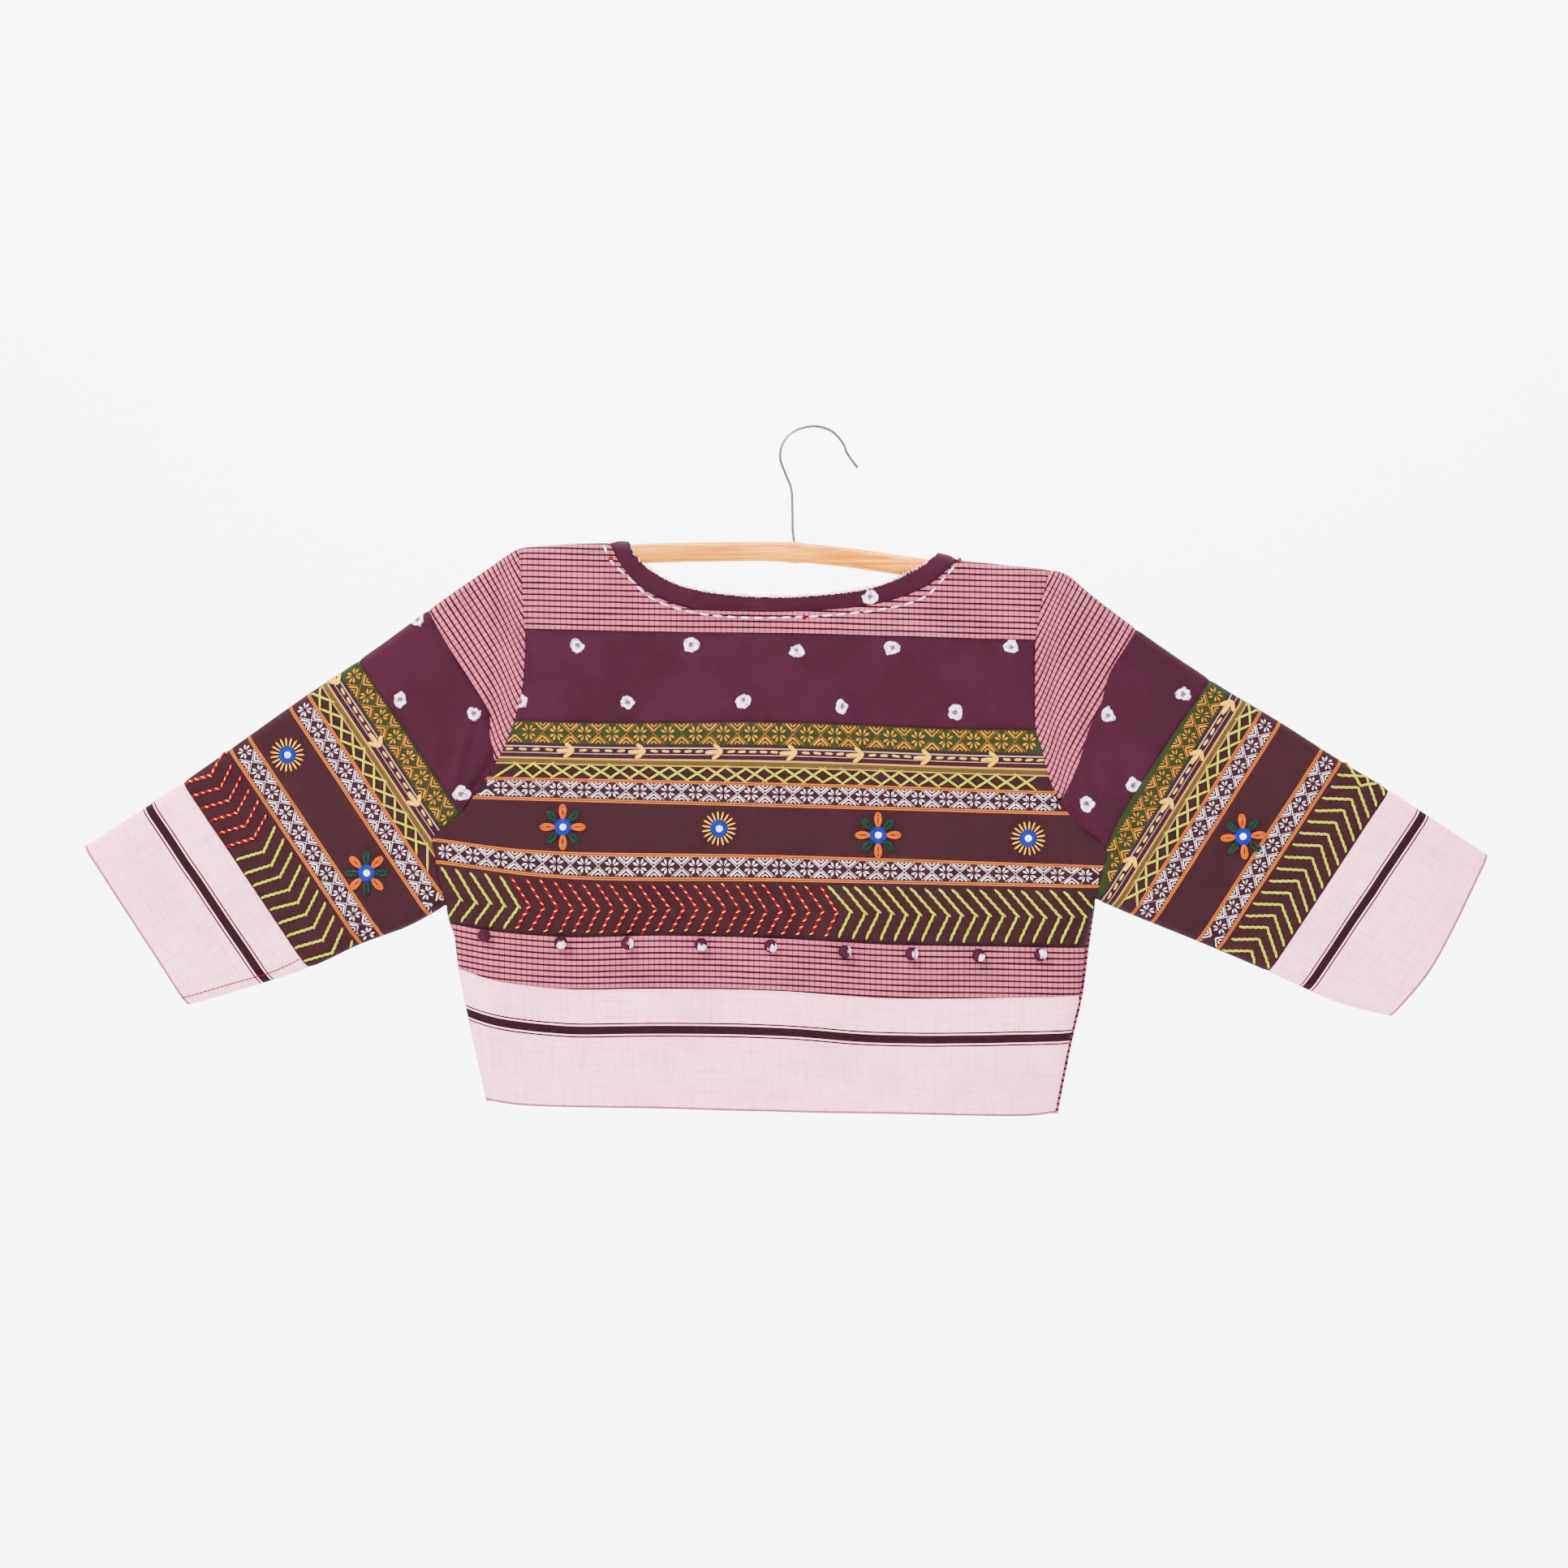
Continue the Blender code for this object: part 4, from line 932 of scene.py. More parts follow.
def binding(name, layer, seam, edge, rise=0.0):
    """A binding between the neck seam and the neck's free edge, crowned across by a half sine."""
    parts = np.linspace(0, 1, 7)
    shares = -BINDING_LAP + (1 + BINDING_LAP) * parts
    grid = np.stack([seam + (edge - seam) * share for share in shares])
    along = np.broadcast_to(lengths(seam), grid.shape[:2])
    uv = np.stack([along, np.broadcast_to(parts[:, None] * 10, grid.shape[:2])], -1)
    crown = BINDING_RISE + BINDING_CROWN * np.sin(math.pi * parts)[:, None] + rise
    note_cut(name, [grid])
    layer_panel(name, layer, grid, uv, "tie-dyed cloth", crown)


def placket_columns(side):
    """Where a front's columns at the placket hang, from its ramp to its own edge past the middle."""
    steps = np.array([18.0, 16.5, 15.0, 13.5, 12.0, 6.0, 0.0, -6.0, -PLACKET_HALF])
    return MIDDLE_X + outward(side) * steps


def placket_rise(side, xs):
    """The right front lies over the left one at the middle."""
    start = placket_columns(RIGHT)[0]
    over = PLACKET_STEP * smooth_step((start - xs) / PLACKET_RAMP)
    return over if side == RIGHT else np.zeros_like(xs)


def front_neck(side):
    """One side of the front neck, as its seam and its free edge, from the shoulder to the placket."""
    seam = neck_seam(FRONT_NECK_SEAM)
    edge = at_fractions(smooth_line(FRONT_NECK_EDGE, 10), lengths(seam) / lengths(seam)[-1])
    if side == RIGHT:
        seam, edge = seam[::-1], edge[::-1]
    xs = placket_columns(side)
    keep = (seam[:, 0] - xs[0]) * outward(side) > 1.5
    lines = []
    for line in (seam, edge):
        order = np.argsort(line[:, 0])
        lower = np.interp(xs, line[order, 0], line[order, 1])
        lines.append(np.vstack([line[keep], np.stack([xs, lower], 1)]))
    return lines


def front_grid(side):
    """The flat grid of one front, from its outer edge to its placket."""
    neck, _ = front_neck(side)
    seam = smooth_line(SIDE_LEFT, 6) if side == LEFT else smooth_line(turned_side(FRONT), 6)[::-1]
    shoulder = smooth_line((SHOULDER_LEFT, SHOULDER_RIGHT)[side], 6)
    start_x, end_x = ARMHOLE[0][1 + 2 * side], FRONT_NECK_SEAM[-side][0]
    outer_edge = np.vstack([armhole(side, FRONT), seam[1:]])
    outer_edge[-1, 1] -= FRONT_HEM_DROP
    order = np.argsort(shoulder[:, 0])
    xs = np.linspace(start_x, end_x, int(abs(end_x - start_x) / mesh_step()) + 2)[:-1]
    top = np.vstack([np.stack([xs, np.interp(xs, shoulder[order, 0], shoulder[order, 1])], 1), neck])
    across = abs(top[:, 0] - top[0, 0]) / abs(top[-1, 0] - top[0, 0])
    down = spaced(lengths(outer_edge)[-1], mesh_step())
    outer_edge = at_fractions(outer_edge, down)
    bottom_xs = outer_edge[-1, 0] + across * (top[-1, 0] - outer_edge[-1, 0])
    count = len(placket_columns(side))
    bottom_xs[-count:] = top[-count:, 0]
    bottom = np.stack([bottom_xs, height_at(HEM, bottom_xs) - FRONT_HEM_DROP], 1)
    bottom[0] = outer_edge[-1]
    placket_edge = top[-1] + down[:, None] * (bottom[-1] - top[-1])
    grid = coons(outer_edge, placket_edge, top, bottom, across, down)
    grid[:, -count:, 0] = top[-count:, 0]
    return grid


def fronts():
    """The two fronts, plain checked cloth, the right one lapped over the left one."""
    for side, name in enumerate(("left", "right")):
        grid = front_grid(side)
        note_cut(f"front_{name}", [grid])
        uv = np.stack([grid[..., 0], YOKE_SEAM[0][1] - grid[..., 1]], -1)
        layer_panel(f"front_{name}", FRONT, grid, uv, "checked cloth", placket_rise(side, grid[..., 0]))


def neck_seam(points):
    """A neck seam cut in even steps, closer together at both shoulders."""
    seam = smooth_line(points, 10)
    return at_fractions(seam, spaced(lengths(seam)[-1], mesh_step(), TOP_RADIUS, TOP_RADIUS))


def neck_bindings():
    """The purple bindings round the neck."""
    seam = neck_seam(BACK_NECK_SEAM)
    edge = at_fractions(smooth_line(BACK_NECK_EDGE, 10), lengths(seam) / lengths(seam)[-1])
    binding("neck_binding_back", BACK, seam, edge)
    for side, name in enumerate(("left", "right")):
        seam, edge = front_neck(side)
        binding(f"neck_binding_front_{name}", FRONT, seam, edge, placket_rise(side, seam[:, 0])[None])


def sleeve_panels():
    """The four panels of both sleeves."""
    for side, sleeve in enumerate(SLEEVES):
        for part, _, _, ring in SLEEVE_PANELS:
            sleeve_panel(side, f"{sleeve}_{part}", part, ring)


def sleeve_panel(side, name, part, ring):
    """One panel of a sleeve, up its back, over its top edge and down its front. The cap's checks bend
    along the armhole by a bell curve of the distance from it."""
    grids = sleeve_grids(side, part)
    note_cut(name, grids)
    faces, values = [], []
    for layer, grid in zip((BACK, FRONT), grids):
        uv = sleeve_uv(side, grid)
        if part == "cap":
            hole, _, _ = nearest(grid.reshape(-1, 2), [(armhole(side, layer), CAP_LOOK)])
            bend = np.exp(-((hole * CAP_LOOK / CAP_BEND_REACH) ** 2)).reshape(grid.shape[:2])
            uv[..., 1] -= CAP_BEND * bend
        if part == "hem_band":
            uv[..., 1] -= BORDER_DEPTH + HEM_STRIPE["sleeve"] - HEM_STRIPE["body"]
        value = cloth_values(uv, grid, CUFF[side] if part == "hem_band" else None)
        grid = grid.copy()
        grid[0, :, 0] += outward(side) * HALF_GAP
        grid[-1, :, 0] -= outward(side) * HALF_GAP
        three = [lifted(grid, layer), lifted(grid, layer, -mm("wall")), value]
        # The front leaves out the columns on the folded edges, which the back has already
        columns = slice(None, None, -1) if layer == BACK else slice(1, -1 if ring else None)
        outer, inner, value = (face[:, columns] for face in three)
        faces.append((outer, inner))
        values.append(value)
    outer, inner = (np.concatenate(pair, 1) for pair in zip(*faces))
    panel(name, outer, inner, np.concatenate(values, 1), PANEL_LOOKS[part], ring)


# Garment parts that carry the border cloth's weaving and stitches


def outline(grid):
    """The closed outline of a flat grid."""
    return np.vstack([grid[0], grid[1:, -1], grid[-1, -2::-1], grid[-2:0:-1, 0]])


def inside(points, polygon):
    """Whether each point lies inside the polygon: a ray along X crosses its sides an odd number of
    times."""
    flat = points.reshape(-1, 2)
    a, b = polygon, np.roll(polygon, -1, 0)
    odd = np.zeros(len(flat), bool)
    for (x0, z0), (x1, z1) in zip(a, b):
        crosses = (z0 > flat[:, 1]) != (z1 > flat[:, 1])
        if crosses.any():
            reach = x0 + (flat[crosses, 1] - z0) * (x1 - x0) / (z1 - z0)
            odd[crosses] ^= flat[crosses, 0] < reach
    return odd.reshape(points.shape[:-1])


class Ground:
    """A layer of border cloth: how its u and v lie in the flat plane, and its outline."""

    def __init__(self, part, layer):
        self.part = part
        self.layer = layer
        if part == "back":
            self.place = back_place
            self.polygon = outline(back_grid("border"))
            self.span = (-280.0, 220.0)
        else:
            side = SLEEVES.index(part)
            self.place = lambda uv: sleeve_place(side, uv)
            self.polygon = outline(sleeve_grids(side, "border")[0 if layer == BACK else 1])
            self.span = (0.0, 190.0)

    def holds(self, uv):
        """Whether all points of each shape lie on this cloth."""
        return inside(self.place(uv), self.polygon).all(-1)

    def lift(self, uv, over):
        """Points that stand over the cloth at these u and v."""
        return lifted(self.place(uv), self.layer, over)


def grounds():
    """Every layer of border cloth that carries weaving and stitches."""
    return [Ground("back", BACK)] + [Ground(part, layer) for part in SLEEVES for layer in (BACK, FRONT)]


GATHERED = {}  # the shapes of each stitched object, until it is sewn


def gather(name, verts, faces, cloth):
    """Keeps a batch of small shapes until all of its object are made. Faces are quads and triangles."""
    GATHERED.setdefault(name, []).append((verts.reshape(-1, 3), faces, cloth.reshape(-1, 3)))


def sew(name, look):
    """Joins the kept batches of one name into an object."""
    verts, quads, triangles, cloth = [], [], [], []
    start = 0
    for batch, (four, three), values in GATHERED.pop(name, []):
        verts.append(batch)
        quads.append(four + start)
        triangles.append(three + start)
        cloth.append(values)
        start += len(batch)
    if not verts:
        raise RuntimeError(f"{name} has no stitches")
    faces = [np.concatenate(quads), np.concatenate(triangles)]
    piece_mesh(name, np.concatenate(verts), faces, look, np.concatenate(cloth))


# Woven stars, as low roofs of thread


def bar(u0, v0, u1, v1, width):
    """A straight float of thread, as its base's four corners and its ridge's two ends."""
    start, end = np.array((u0, v0)), np.array((u1, v1))
    way = (end - start) / np.linalg.norm(end - start)
    side, tip = left_of(way) * width / 2, way * width / 3
    return np.array([start - side, end - side, end + side, start + side, start + tip, end - tip])


def kite(turn, near, far, width):
    """A pointed float that widens from its start and narrows to its end. Its ridge runs between."""
    way = heading(turn)
    side = left_of(way) * width / 2
    middle = way * (near + 0.6 * (far - near))
    base = [way * near, middle - side, way * far, middle + side]
    return np.array(base + [middle - way * 0.8, middle + way * 0.5])


def star_cell(high):
    """The roofs of one repeat: a star of eight petals, then crossed arms with V's above and below."""
    half, top = STAR_REPEAT / 2, STAR_HIGH / 2
    shapes = [kite(math.radians(k + turn), 0.5, 6.1, 2.2) for k in (0, 180) for turn in (-64, -27, 27, 64)]
    slope = top / STAR_ARM
    for way in (-1, 1):
        shapes.append(bar(half - STAR_ARM, -way * top, half + STAR_ARM, way * top, 0.5))
        for up in (-1, 1):
            for apex, width in ((1.9, 1.7), (4.4, 1.1)):
                foot = half + way * (top - apex) / slope
                shapes.append(bar(foot, up * top, half + way * 0.1, up * apex, width))
    return np.array(shapes) * (1, high / STAR_HIGH) + (0, high / 2)


def roofs(ground, name, shapes, rise):
    """Closed low roofs over four-cornered bases on the cloth."""
    shapes = shapes[ground.holds(shapes)]
    verts = ground.lift(shapes, np.array([STAR_FOOT] * 4 + [rise] * 2))
    first = np.arange(len(shapes))[:, None] * 6
    quads = np.vstack([first + np.array(f) for f in ((0, 3, 2, 1), (0, 1, 5, 4), (2, 3, 4, 5))])
    triangles = np.vstack([first + np.array(f) for f in ((1, 2, 5), (3, 0, 4))])
    faces_out = ground.layer * np.cross(verts[:, 1] - verts[:, 0], verts[:, 2] - verts[:, 0])[:, 1]
    if len(shapes) and np.median(faces_out) < 0:
        quads, triangles = quads[:, ::-1], triangles[:, ::-1]
    values = np.concatenate([shapes, np.zeros((*shapes.shape[:-1], 1))], -1)
    gather(name, verts, (quads, triangles), values)


def star_bands(grounds_made):
    """The three bands of woven stars on every layer of border cloth."""
    for ground in grounds_made:
        first, last = ground.span
        squeeze, offset = (1, 0) if ground.part == "back" else (SLEEVE_SQUEEZE, 8)
        starts = np.arange(first + offset, last, STAR_REPEAT * squeeze)
        for thread, depth_down, high in STAR_BANDS:
            cell = star_cell(high) * (squeeze, 1)
            shapes = cell + np.array([(u, depth_down) for u in starts])[:, None, None]
            roofs(ground, f"{ground.part}_stars_{thread}", shapes.reshape(-1, 6, 2), mm("star_rise"))
    for part in ("back",) + SLEEVES:
        for thread in ("gold", "white"):
            sew(f"{part}_stars_{thread}", f"{thread} thread")


# Stitches, as tubes of thread along short flat paths


def threads(ground, name, paths, radius, over=0.45, sides=6, arch=0.55, clip=True, flat=False):
    """Closed tubes along paths on the cloth. Each ring is centre + r * (cos(t) * side + 0.8 * sin(t) *
    outward), with r narrowing at both ends, where the thread also dips into the cloth."""
    paths = np.asarray(paths, float)
    places = paths if flat else ground.place(paths)
    if clip:
        places = places[inside(places[:, [0, places.shape[1] // 2, -1]], ground.polygon).all(-1)]
    if len(places) == 0:
        return
    count, rings = places.shape[:2]
    size = rings * sides + 2
    t = np.linspace(0, 1, rings)
    rise = over - arch + arch * np.sin(math.pi * t) ** 0.5
    centre = lifted(places, ground.layer, rise[None])
    out = lifted(places, ground.layer, rise[None] + 0.6) - centre
    out /= np.linalg.norm(out, axis=-1, keepdims=True)
    way = np.gradient(centre, axis=1)
    way /= np.linalg.norm(way, axis=-1, keepdims=True)
    side = np.cross(way, out)
    side /= np.linalg.norm(side, axis=-1, keepdims=True)
    profile = radius * np.clip(1 - abs(2 * t - 1) ** 6, 0.12, 1) ** 0.5
    turns = np.linspace(0, 2 * math.pi, sides, endpoint=False)
    around = side[:, :, None] * np.cos(turns)[None, None, :, None]
    around = around + out[:, :, None] * 0.8 * np.sin(turns)[None, None, :, None]
    tube = centre[:, :, None] + around * profile[None, :, None, None]
    tips = way * radius * 0.3
    poles = np.stack([centre[:, 0] - tips[:, 0], centre[:, -1] + tips[:, -1]], 1)
    verts = np.concatenate([tube.reshape(count, -1, 3), poles], 1)
    quads, triangles = round_faces(rings, sides)
    if volume(verts[0], quads) < 0:
        quads, triangles = quads[:, ::-1], triangles[:, ::-1]
    starts = np.arange(count)[:, None, None] * size
    faces = (quads[None] + starts).reshape(-1, 4), (triangles[None] + starts).reshape(-1, 3)
    along = np.linalg.norm(np.diff(centre, axis=1), axis=-1).sum(1)[:, None] * t
    values = np.zeros((count, size, 3))
    values[:, :-2, 0] = np.repeat(along, sides, 1)
    values[:, :-2, 1] = np.tile(turns, rings)[None]
    values[:, :, 2] = np.arange(count)[:, None] * 0.37
    gather(name, verts, faces, values)


def straight(starts, ends, rings=6):
    """Straight paths between pairs of points."""
    t = np.linspace(0, 1, rings)[None, :, None]
    return np.asarray(starts)[:, None] * (1 - t) + np.asarray(ends)[:, None] * t


def petal_path(turn, reach, half, rings=12):
    """A teardrop loop from the origin: out along the turn by reach * (1 - cos) / 2, and across by half *
    sin**1.3 of the angle."""
    angle = np.linspace(0, 2 * math.pi, rings)
    out = reach * (1 - np.cos(angle)) / 2
    wide = half * np.sign(np.sin(angle)) * abs(np.sin(angle)) ** 1.3 * (0.55 + 0.45 * out / reach)
    way = heading(turn)
    return out[:, None] * way + wide[:, None] * left_of(way)


def dashes_and_arrows(ground):
    """Yellow dashes between two pale lines, broken by arrows, each of three narrow loops."""
    tips, points_to = ARROWS[ground.part]
    name = f"{ground.part}_stitches_yellow"
    loops = []
    for tip in tips:
        for turn, reach in ARROW_LOOPS:
            turn = math.radians(turn if points_to > 0 else turn + 180)
            loops.append(petal_path(turn, reach, 0.75) + (tip, DASH_DEPTH))
    threads(ground, name, loops, 0.85, over=0.7, arch=0.2)
    first, last = ground.span
    marks = [min(tips) - 52, *sorted(tips), max(tips) + 46]
    lead, tail = (2, 12.5) if points_to > 0 else (12.5, 2)
    starts = []
    for low, high in zip(marks[:-1], marks[1:]):
        room = high - low - lead - tail
        count = max(1, int(round(room / DASH_STEP)))
        starts += list(low + lead + (np.arange(count) + 0.2) * room / count)
    starts = np.array(starts)
    starts = starts[(starts > first) & (starts < last)]
    wave = 0.35 * np.sin(starts * 1.7)
    ends = np.stack([starts + DASH_LENGTH, DASH_DEPTH - wave], 1)
    threads(ground, name, straight(np.stack([starts, DASH_DEPTH + wave], 1), ends), mm("thick_thread"))


def herringbone(ground):
    """Two crossing zigzags of lime thread, each stitch running a little past the turn."""
    rng = np.random.default_rng(11)
    turns = np.arange(*ground.span, HERRINGBONE_HALF_WAVE)
    for phase in (0, 1):
        way = np.where((np.arange(len(turns)) + phase) % 2, 1.0, -1.0) * HERRINGBONE_HALF_HEIGHT
        tops = np.stack([turns, HERRINGBONE_DEPTH + way], 1)
        ends = np.stack([turns + HERRINGBONE_HALF_WAVE, HERRINGBONE_DEPTH - way], 1)
        tops += rng.normal(0, 0.45, tops.shape)
        ends += rng.normal(0, 0.45, ends.shape)
        past = 0.1 * (ends - tops)
        paths, over = straight(tops - past, ends + past), 0.45 + 0.45 * phase
        threads(ground, f"{ground.part}_stitches_lime", paths, 0.8, over=over)


def arm_stitches(start, end):
    """Overlapping slanted stitches along a line: stem stitch."""
    step = (end - start) / CHEVRON_STITCHES
    slant = left_of(step) / np.linalg.norm(step) * 0.45
    marks = start + step * np.arange(CHEVRON_STITCHES)[:, None]
    return straight(marks + slant, marks + step * 1.35 - slant)


def chevrons(ground):
    """Rows of angled stem stitch, lime ones and red ones whipped with cream."""
    rng = np.random.default_rng(5)
    paths = {"lime": [], "red": [], "cream": []}
    for part, thread, first, step, count, apex, foot in CHEVRONS:
        if part != ground.part:
            continue
        for k in range(count):
            corners = np.array([(0, 0), apex, foot]) + (first + step * k, CHEVRON_DEPTH)
            top, middle, low = corners + rng.normal(0, 0.35, (3, 2))
            for a, b, turn in ((top, middle, -0.35), (middle, low, 0.6)):
                paths[thread].append(arm_stitches(a, b))
                if thread == "red":
                    marks = a + (b - a) * ((np.arange(4) + rng.uniform(0.25, 0.6)) / 4)[:, None]
                    spin = np.stack([heading(turn), left_of(heading(turn))], 1)
                    tilt = spin @ (b - a) / np.linalg.norm(b - a) * 1.6
                    paths["cream"].append(straight(marks - tilt, marks + tilt))
    looks = {"lime": (mm("thick_thread"), 0.45), "red": (1.15, 0.4), "cream": (0.42, 1.05)}
    for thread, (radius, over) in looks.items():
        if paths[thread]:
            name = f"{ground.part}_stitches_{thread}"
            threads(ground, name, np.concatenate(paths[thread]), radius, over)


def embroidery(grounds_made):
    """The stitched lines along the border cloth."""
    for ground in grounds_made:
        dashes_and_arrows(ground)
        herringbone(ground)
        chevrons(ground)


# Mirrors with their stitched rings


def mirror_disc(ground, name, x, z, radius):
    """A closed round plate, slightly domed, held flat on the cloth."""
    ring = round_points(DISC_SIDES)
    centre = np.array([[x, z]])
    # Columns: the share of the radius, how far off the cloth
    rows = ((0.98, 0.1), (1, 0.45), (0.7, 0.62), (0, 0.1), (0, 0.68))
    points = [centre + (ring * radius * share if share else 0) for share, _ in rows]
    verts = np.concatenate([lifted(p, ground.layer, over) for p, (_, over) in zip(points, rows)])
    quads, triangles = round_faces(3, DISC_SIDES)
    if ground.layer == FRONT:
        quads, triangles = quads[:, ::-1], triangles[:, ::-1]
    gather(name, verts, (quads, triangles), np.zeros((len(verts), 3)))


def mirror_motif(ground, kind, x, z, turn):
    """A mirror in a blue ring of close stitches, with petals or with rays."""
    centre = np.array((x, z))
    part, turn, mirror = ground.part, math.radians(turn), mm("mirror_radius")
    mirror_disc(ground, f"{part}_mirrors", x, z, mirror)
    way = round_points(RING_STITCHES)
    spokes = straight(centre + way * (mirror - 0.5), centre + way * RING_RADIUS)
    threads(ground, f"{part}_stitches_blue", spokes, 0.72, over=0.95, flat=True)
    circle = centre + (mirror + 0.2) * round_points(24, True)
    threads(ground, f"{part}_stitches_blue", [circle], 0.6, over=1.3, arch=0, flat=True)

    def loops(thread, angles, reach, half, rings, radius, over):
        foot = RING_RADIUS * 0.9
        paths = [petal_path(a, reach, half, rings) + (centre + foot * heading(a)) for a in angles]
        threads(ground, f"{part}_stitches_{thread}", paths, radius, over=over, arch=0.1, flat=True)

    if kind == "flower":
        for thread, first, reach in (("orange", 0, 9.8), ("green", 1, 9.2)):
            angles = [turn + k * math.pi / 4 for k in range(first, 8, 2)]
            loops(thread, angles, reach, 2.4, 14, 1, 0.7)
            loops(thread, angles, reach - 2, 1.3, 14, 0.75, 1)
    else:
        angles = [turn + k * 2 * math.pi / SUN_RAYS for k in range(SUN_RAYS)]
        loops("yellow", angles, 6.2, 0.3, 9, 0.36, 0.6)


def mirror_work(grounds_made):
    """All mirror motifs, with like ones on the hidden halves of the sleeves."""
    for ground in grounds_made:
        if ground.layer == BACK:
            for part, kind, x, z, turn in MIRRORS:
                if part == ground.part:
                    mirror_motif(ground, kind, x, z, turn)
        else:
            for kind, u, v in HIDDEN_MIRRORS:
                mirror_motif(ground, kind, *ground.place(np.array((u, v))), 0)
    for part in ("back",) + SLEEVES:
        sew(f"{part}_mirrors", "small mirror")


def thread_pieces():
    """Joins the gathered stitches into one object for each garment part and thread."""
    for name in sorted(GATHERED):
        sew(name, f"{name.rsplit('_', 1)[1]} thread")


def stitches_along(line, marks, long, rings):
    """Paths of this length along a line, from each mark."""
    return np.stack([at_distances(line, marks + long * t) for t in np.linspace(0, 1, rings)], 1)


def neck_stitches():
    """White running stitches and red knots round the back neck, and the tufts on its raw edge."""
    ground = Ground("back", BACK)
    line = smooth_line(NECK_STITCHES, 8)
    paths = stitches_along(line, np.arange(2, lengths(line)[-1] - 5, 9.7), 6.6, 6)
    threads(ground, "back_stitches_white", paths, 0.75, over=0.6, clip=False, flat=True)
    for knot in np.array(NECK_KNOTS):
        for angle in (0.4, 1.5, 2.6):
            way = 1.8 * heading(angle)
            path = straight([knot - way], [knot + way])
            threads(ground, "back_stitches_red", path, 0.8, over=0.9, clip=False, flat=True)
    rng = np.random.default_rng(3)
    edge = smooth_line(BACK_NECK_EDGE, 10)
    marks = np.sort(rng.uniform(4, lengths(edge)[-1] - 4, TUFTS))
    roots = at_distances(edge, marks) - (0, 0.8)
    tips = roots + np.stack([rng.normal(0, 0.9, TUFTS), rng.uniform(1.2, 3, TUFTS)], 1)
    paths = straight(roots, tips, 4)
    threads(ground, "back_stitches_blush", paths, 0.4, sides=4, arch=0, clip=False, flat=True)


def seam_stitches():
    """Faint small stitches just below the waist seam, and the left sleeve's underarm seam, which has
    turned to the back."""
    xs = np.arange(-228, 176, 3.4)
    z = height_at(WAIST_SEAM, xs) - 1.8
    paths = straight(np.stack([xs, z], 1), np.stack([xs + 2.2, z], 1), 5)
    threads(Ground("back", BACK), "back_stitches_blush", paths, 0.26, clip=False, flat=True)
    seam = smooth_line(SLEEVE_SEAM, 8)
    paths = stitches_along(seam, np.arange(0, lengths(seam)[-1] - 3, 3), 3.3, 5)
    sleeve = Ground("sleeve_left", BACK)
    threads(sleeve, "sleeve_left_stitches_red", paths, 0.5, over=0.1, arch=0.15, clip=False, flat=True)


# Fabric balls and hanger


def ball(number, x, z):
    """A stuffed ball: r = radius * (1 + pleats * cos(7 * around) near the top + small lumps), on a grid
    of turns and heights whose poles are closed, with a neck of gathers at the top."""
    radius = mm("ball_radius")
    centre = lifted(np.array([[x, z]]), BACK, cloth_shape=False)[0] + (0, -0.3 - radius, 0)
    rng = np.random.default_rng(40 + number)
    lat = np.linspace(0, math.pi, BALL_ROWS + 2)[1:-1, None]
    lon = np.linspace(0, 2 * math.pi, BALL_COLUMNS, endpoint=False)[None]
    shift = rng.uniform(0, 6.28, 4)
    pleat = 0.07 * np.cos(PLEATS * lon + shift[0]) * np.exp(-((lat / 0.75) ** 2))
    lumps = 0.025 * np.sin(3 * lon + shift[1]) * np.sin(2 * lat + shift[2])
    r = radius * (0.97 + pleat + lumps - 0.06 * np.exp(-((lat / 0.3) ** 2)))
    out = r * np.sin(lat)
    shape = np.stack([out * np.cos(lon), out * np.sin(lon), r * np.cos(lat)], -1)
    verts = np.vstack([shape.reshape(-1, 3), (0, 0, radius * 0.9), (0, 0, -radius * 0.96)])
    unit = verts / radius
    turn, tip = rng.uniform(0.1, 1.2), rng.uniform(-0.3, 0.6)
    if number == 1:
        turn = math.pi
    spot = np.array((math.sin(turn) * math.cos(tip), -math.cos(turn) * math.cos(tip), -math.sin(tip)))
    cloth = np.concatenate([unit[:, :2] * 5 + number * 3.7, (unit @ spot)[:, None]], 1)
    quads, triangles = round_faces(BALL_ROWS, BALL_COLUMNS)
    faces = [quads[:, TURNED_QUAD], triangles[:, TURNED_TRIANGLE]]
    name = f"potli_ball_{number}"
    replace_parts(piece_mesh(f"{name}_stuffed", verts + centre, faces, "ball cloth", cloth), name)


# Materials


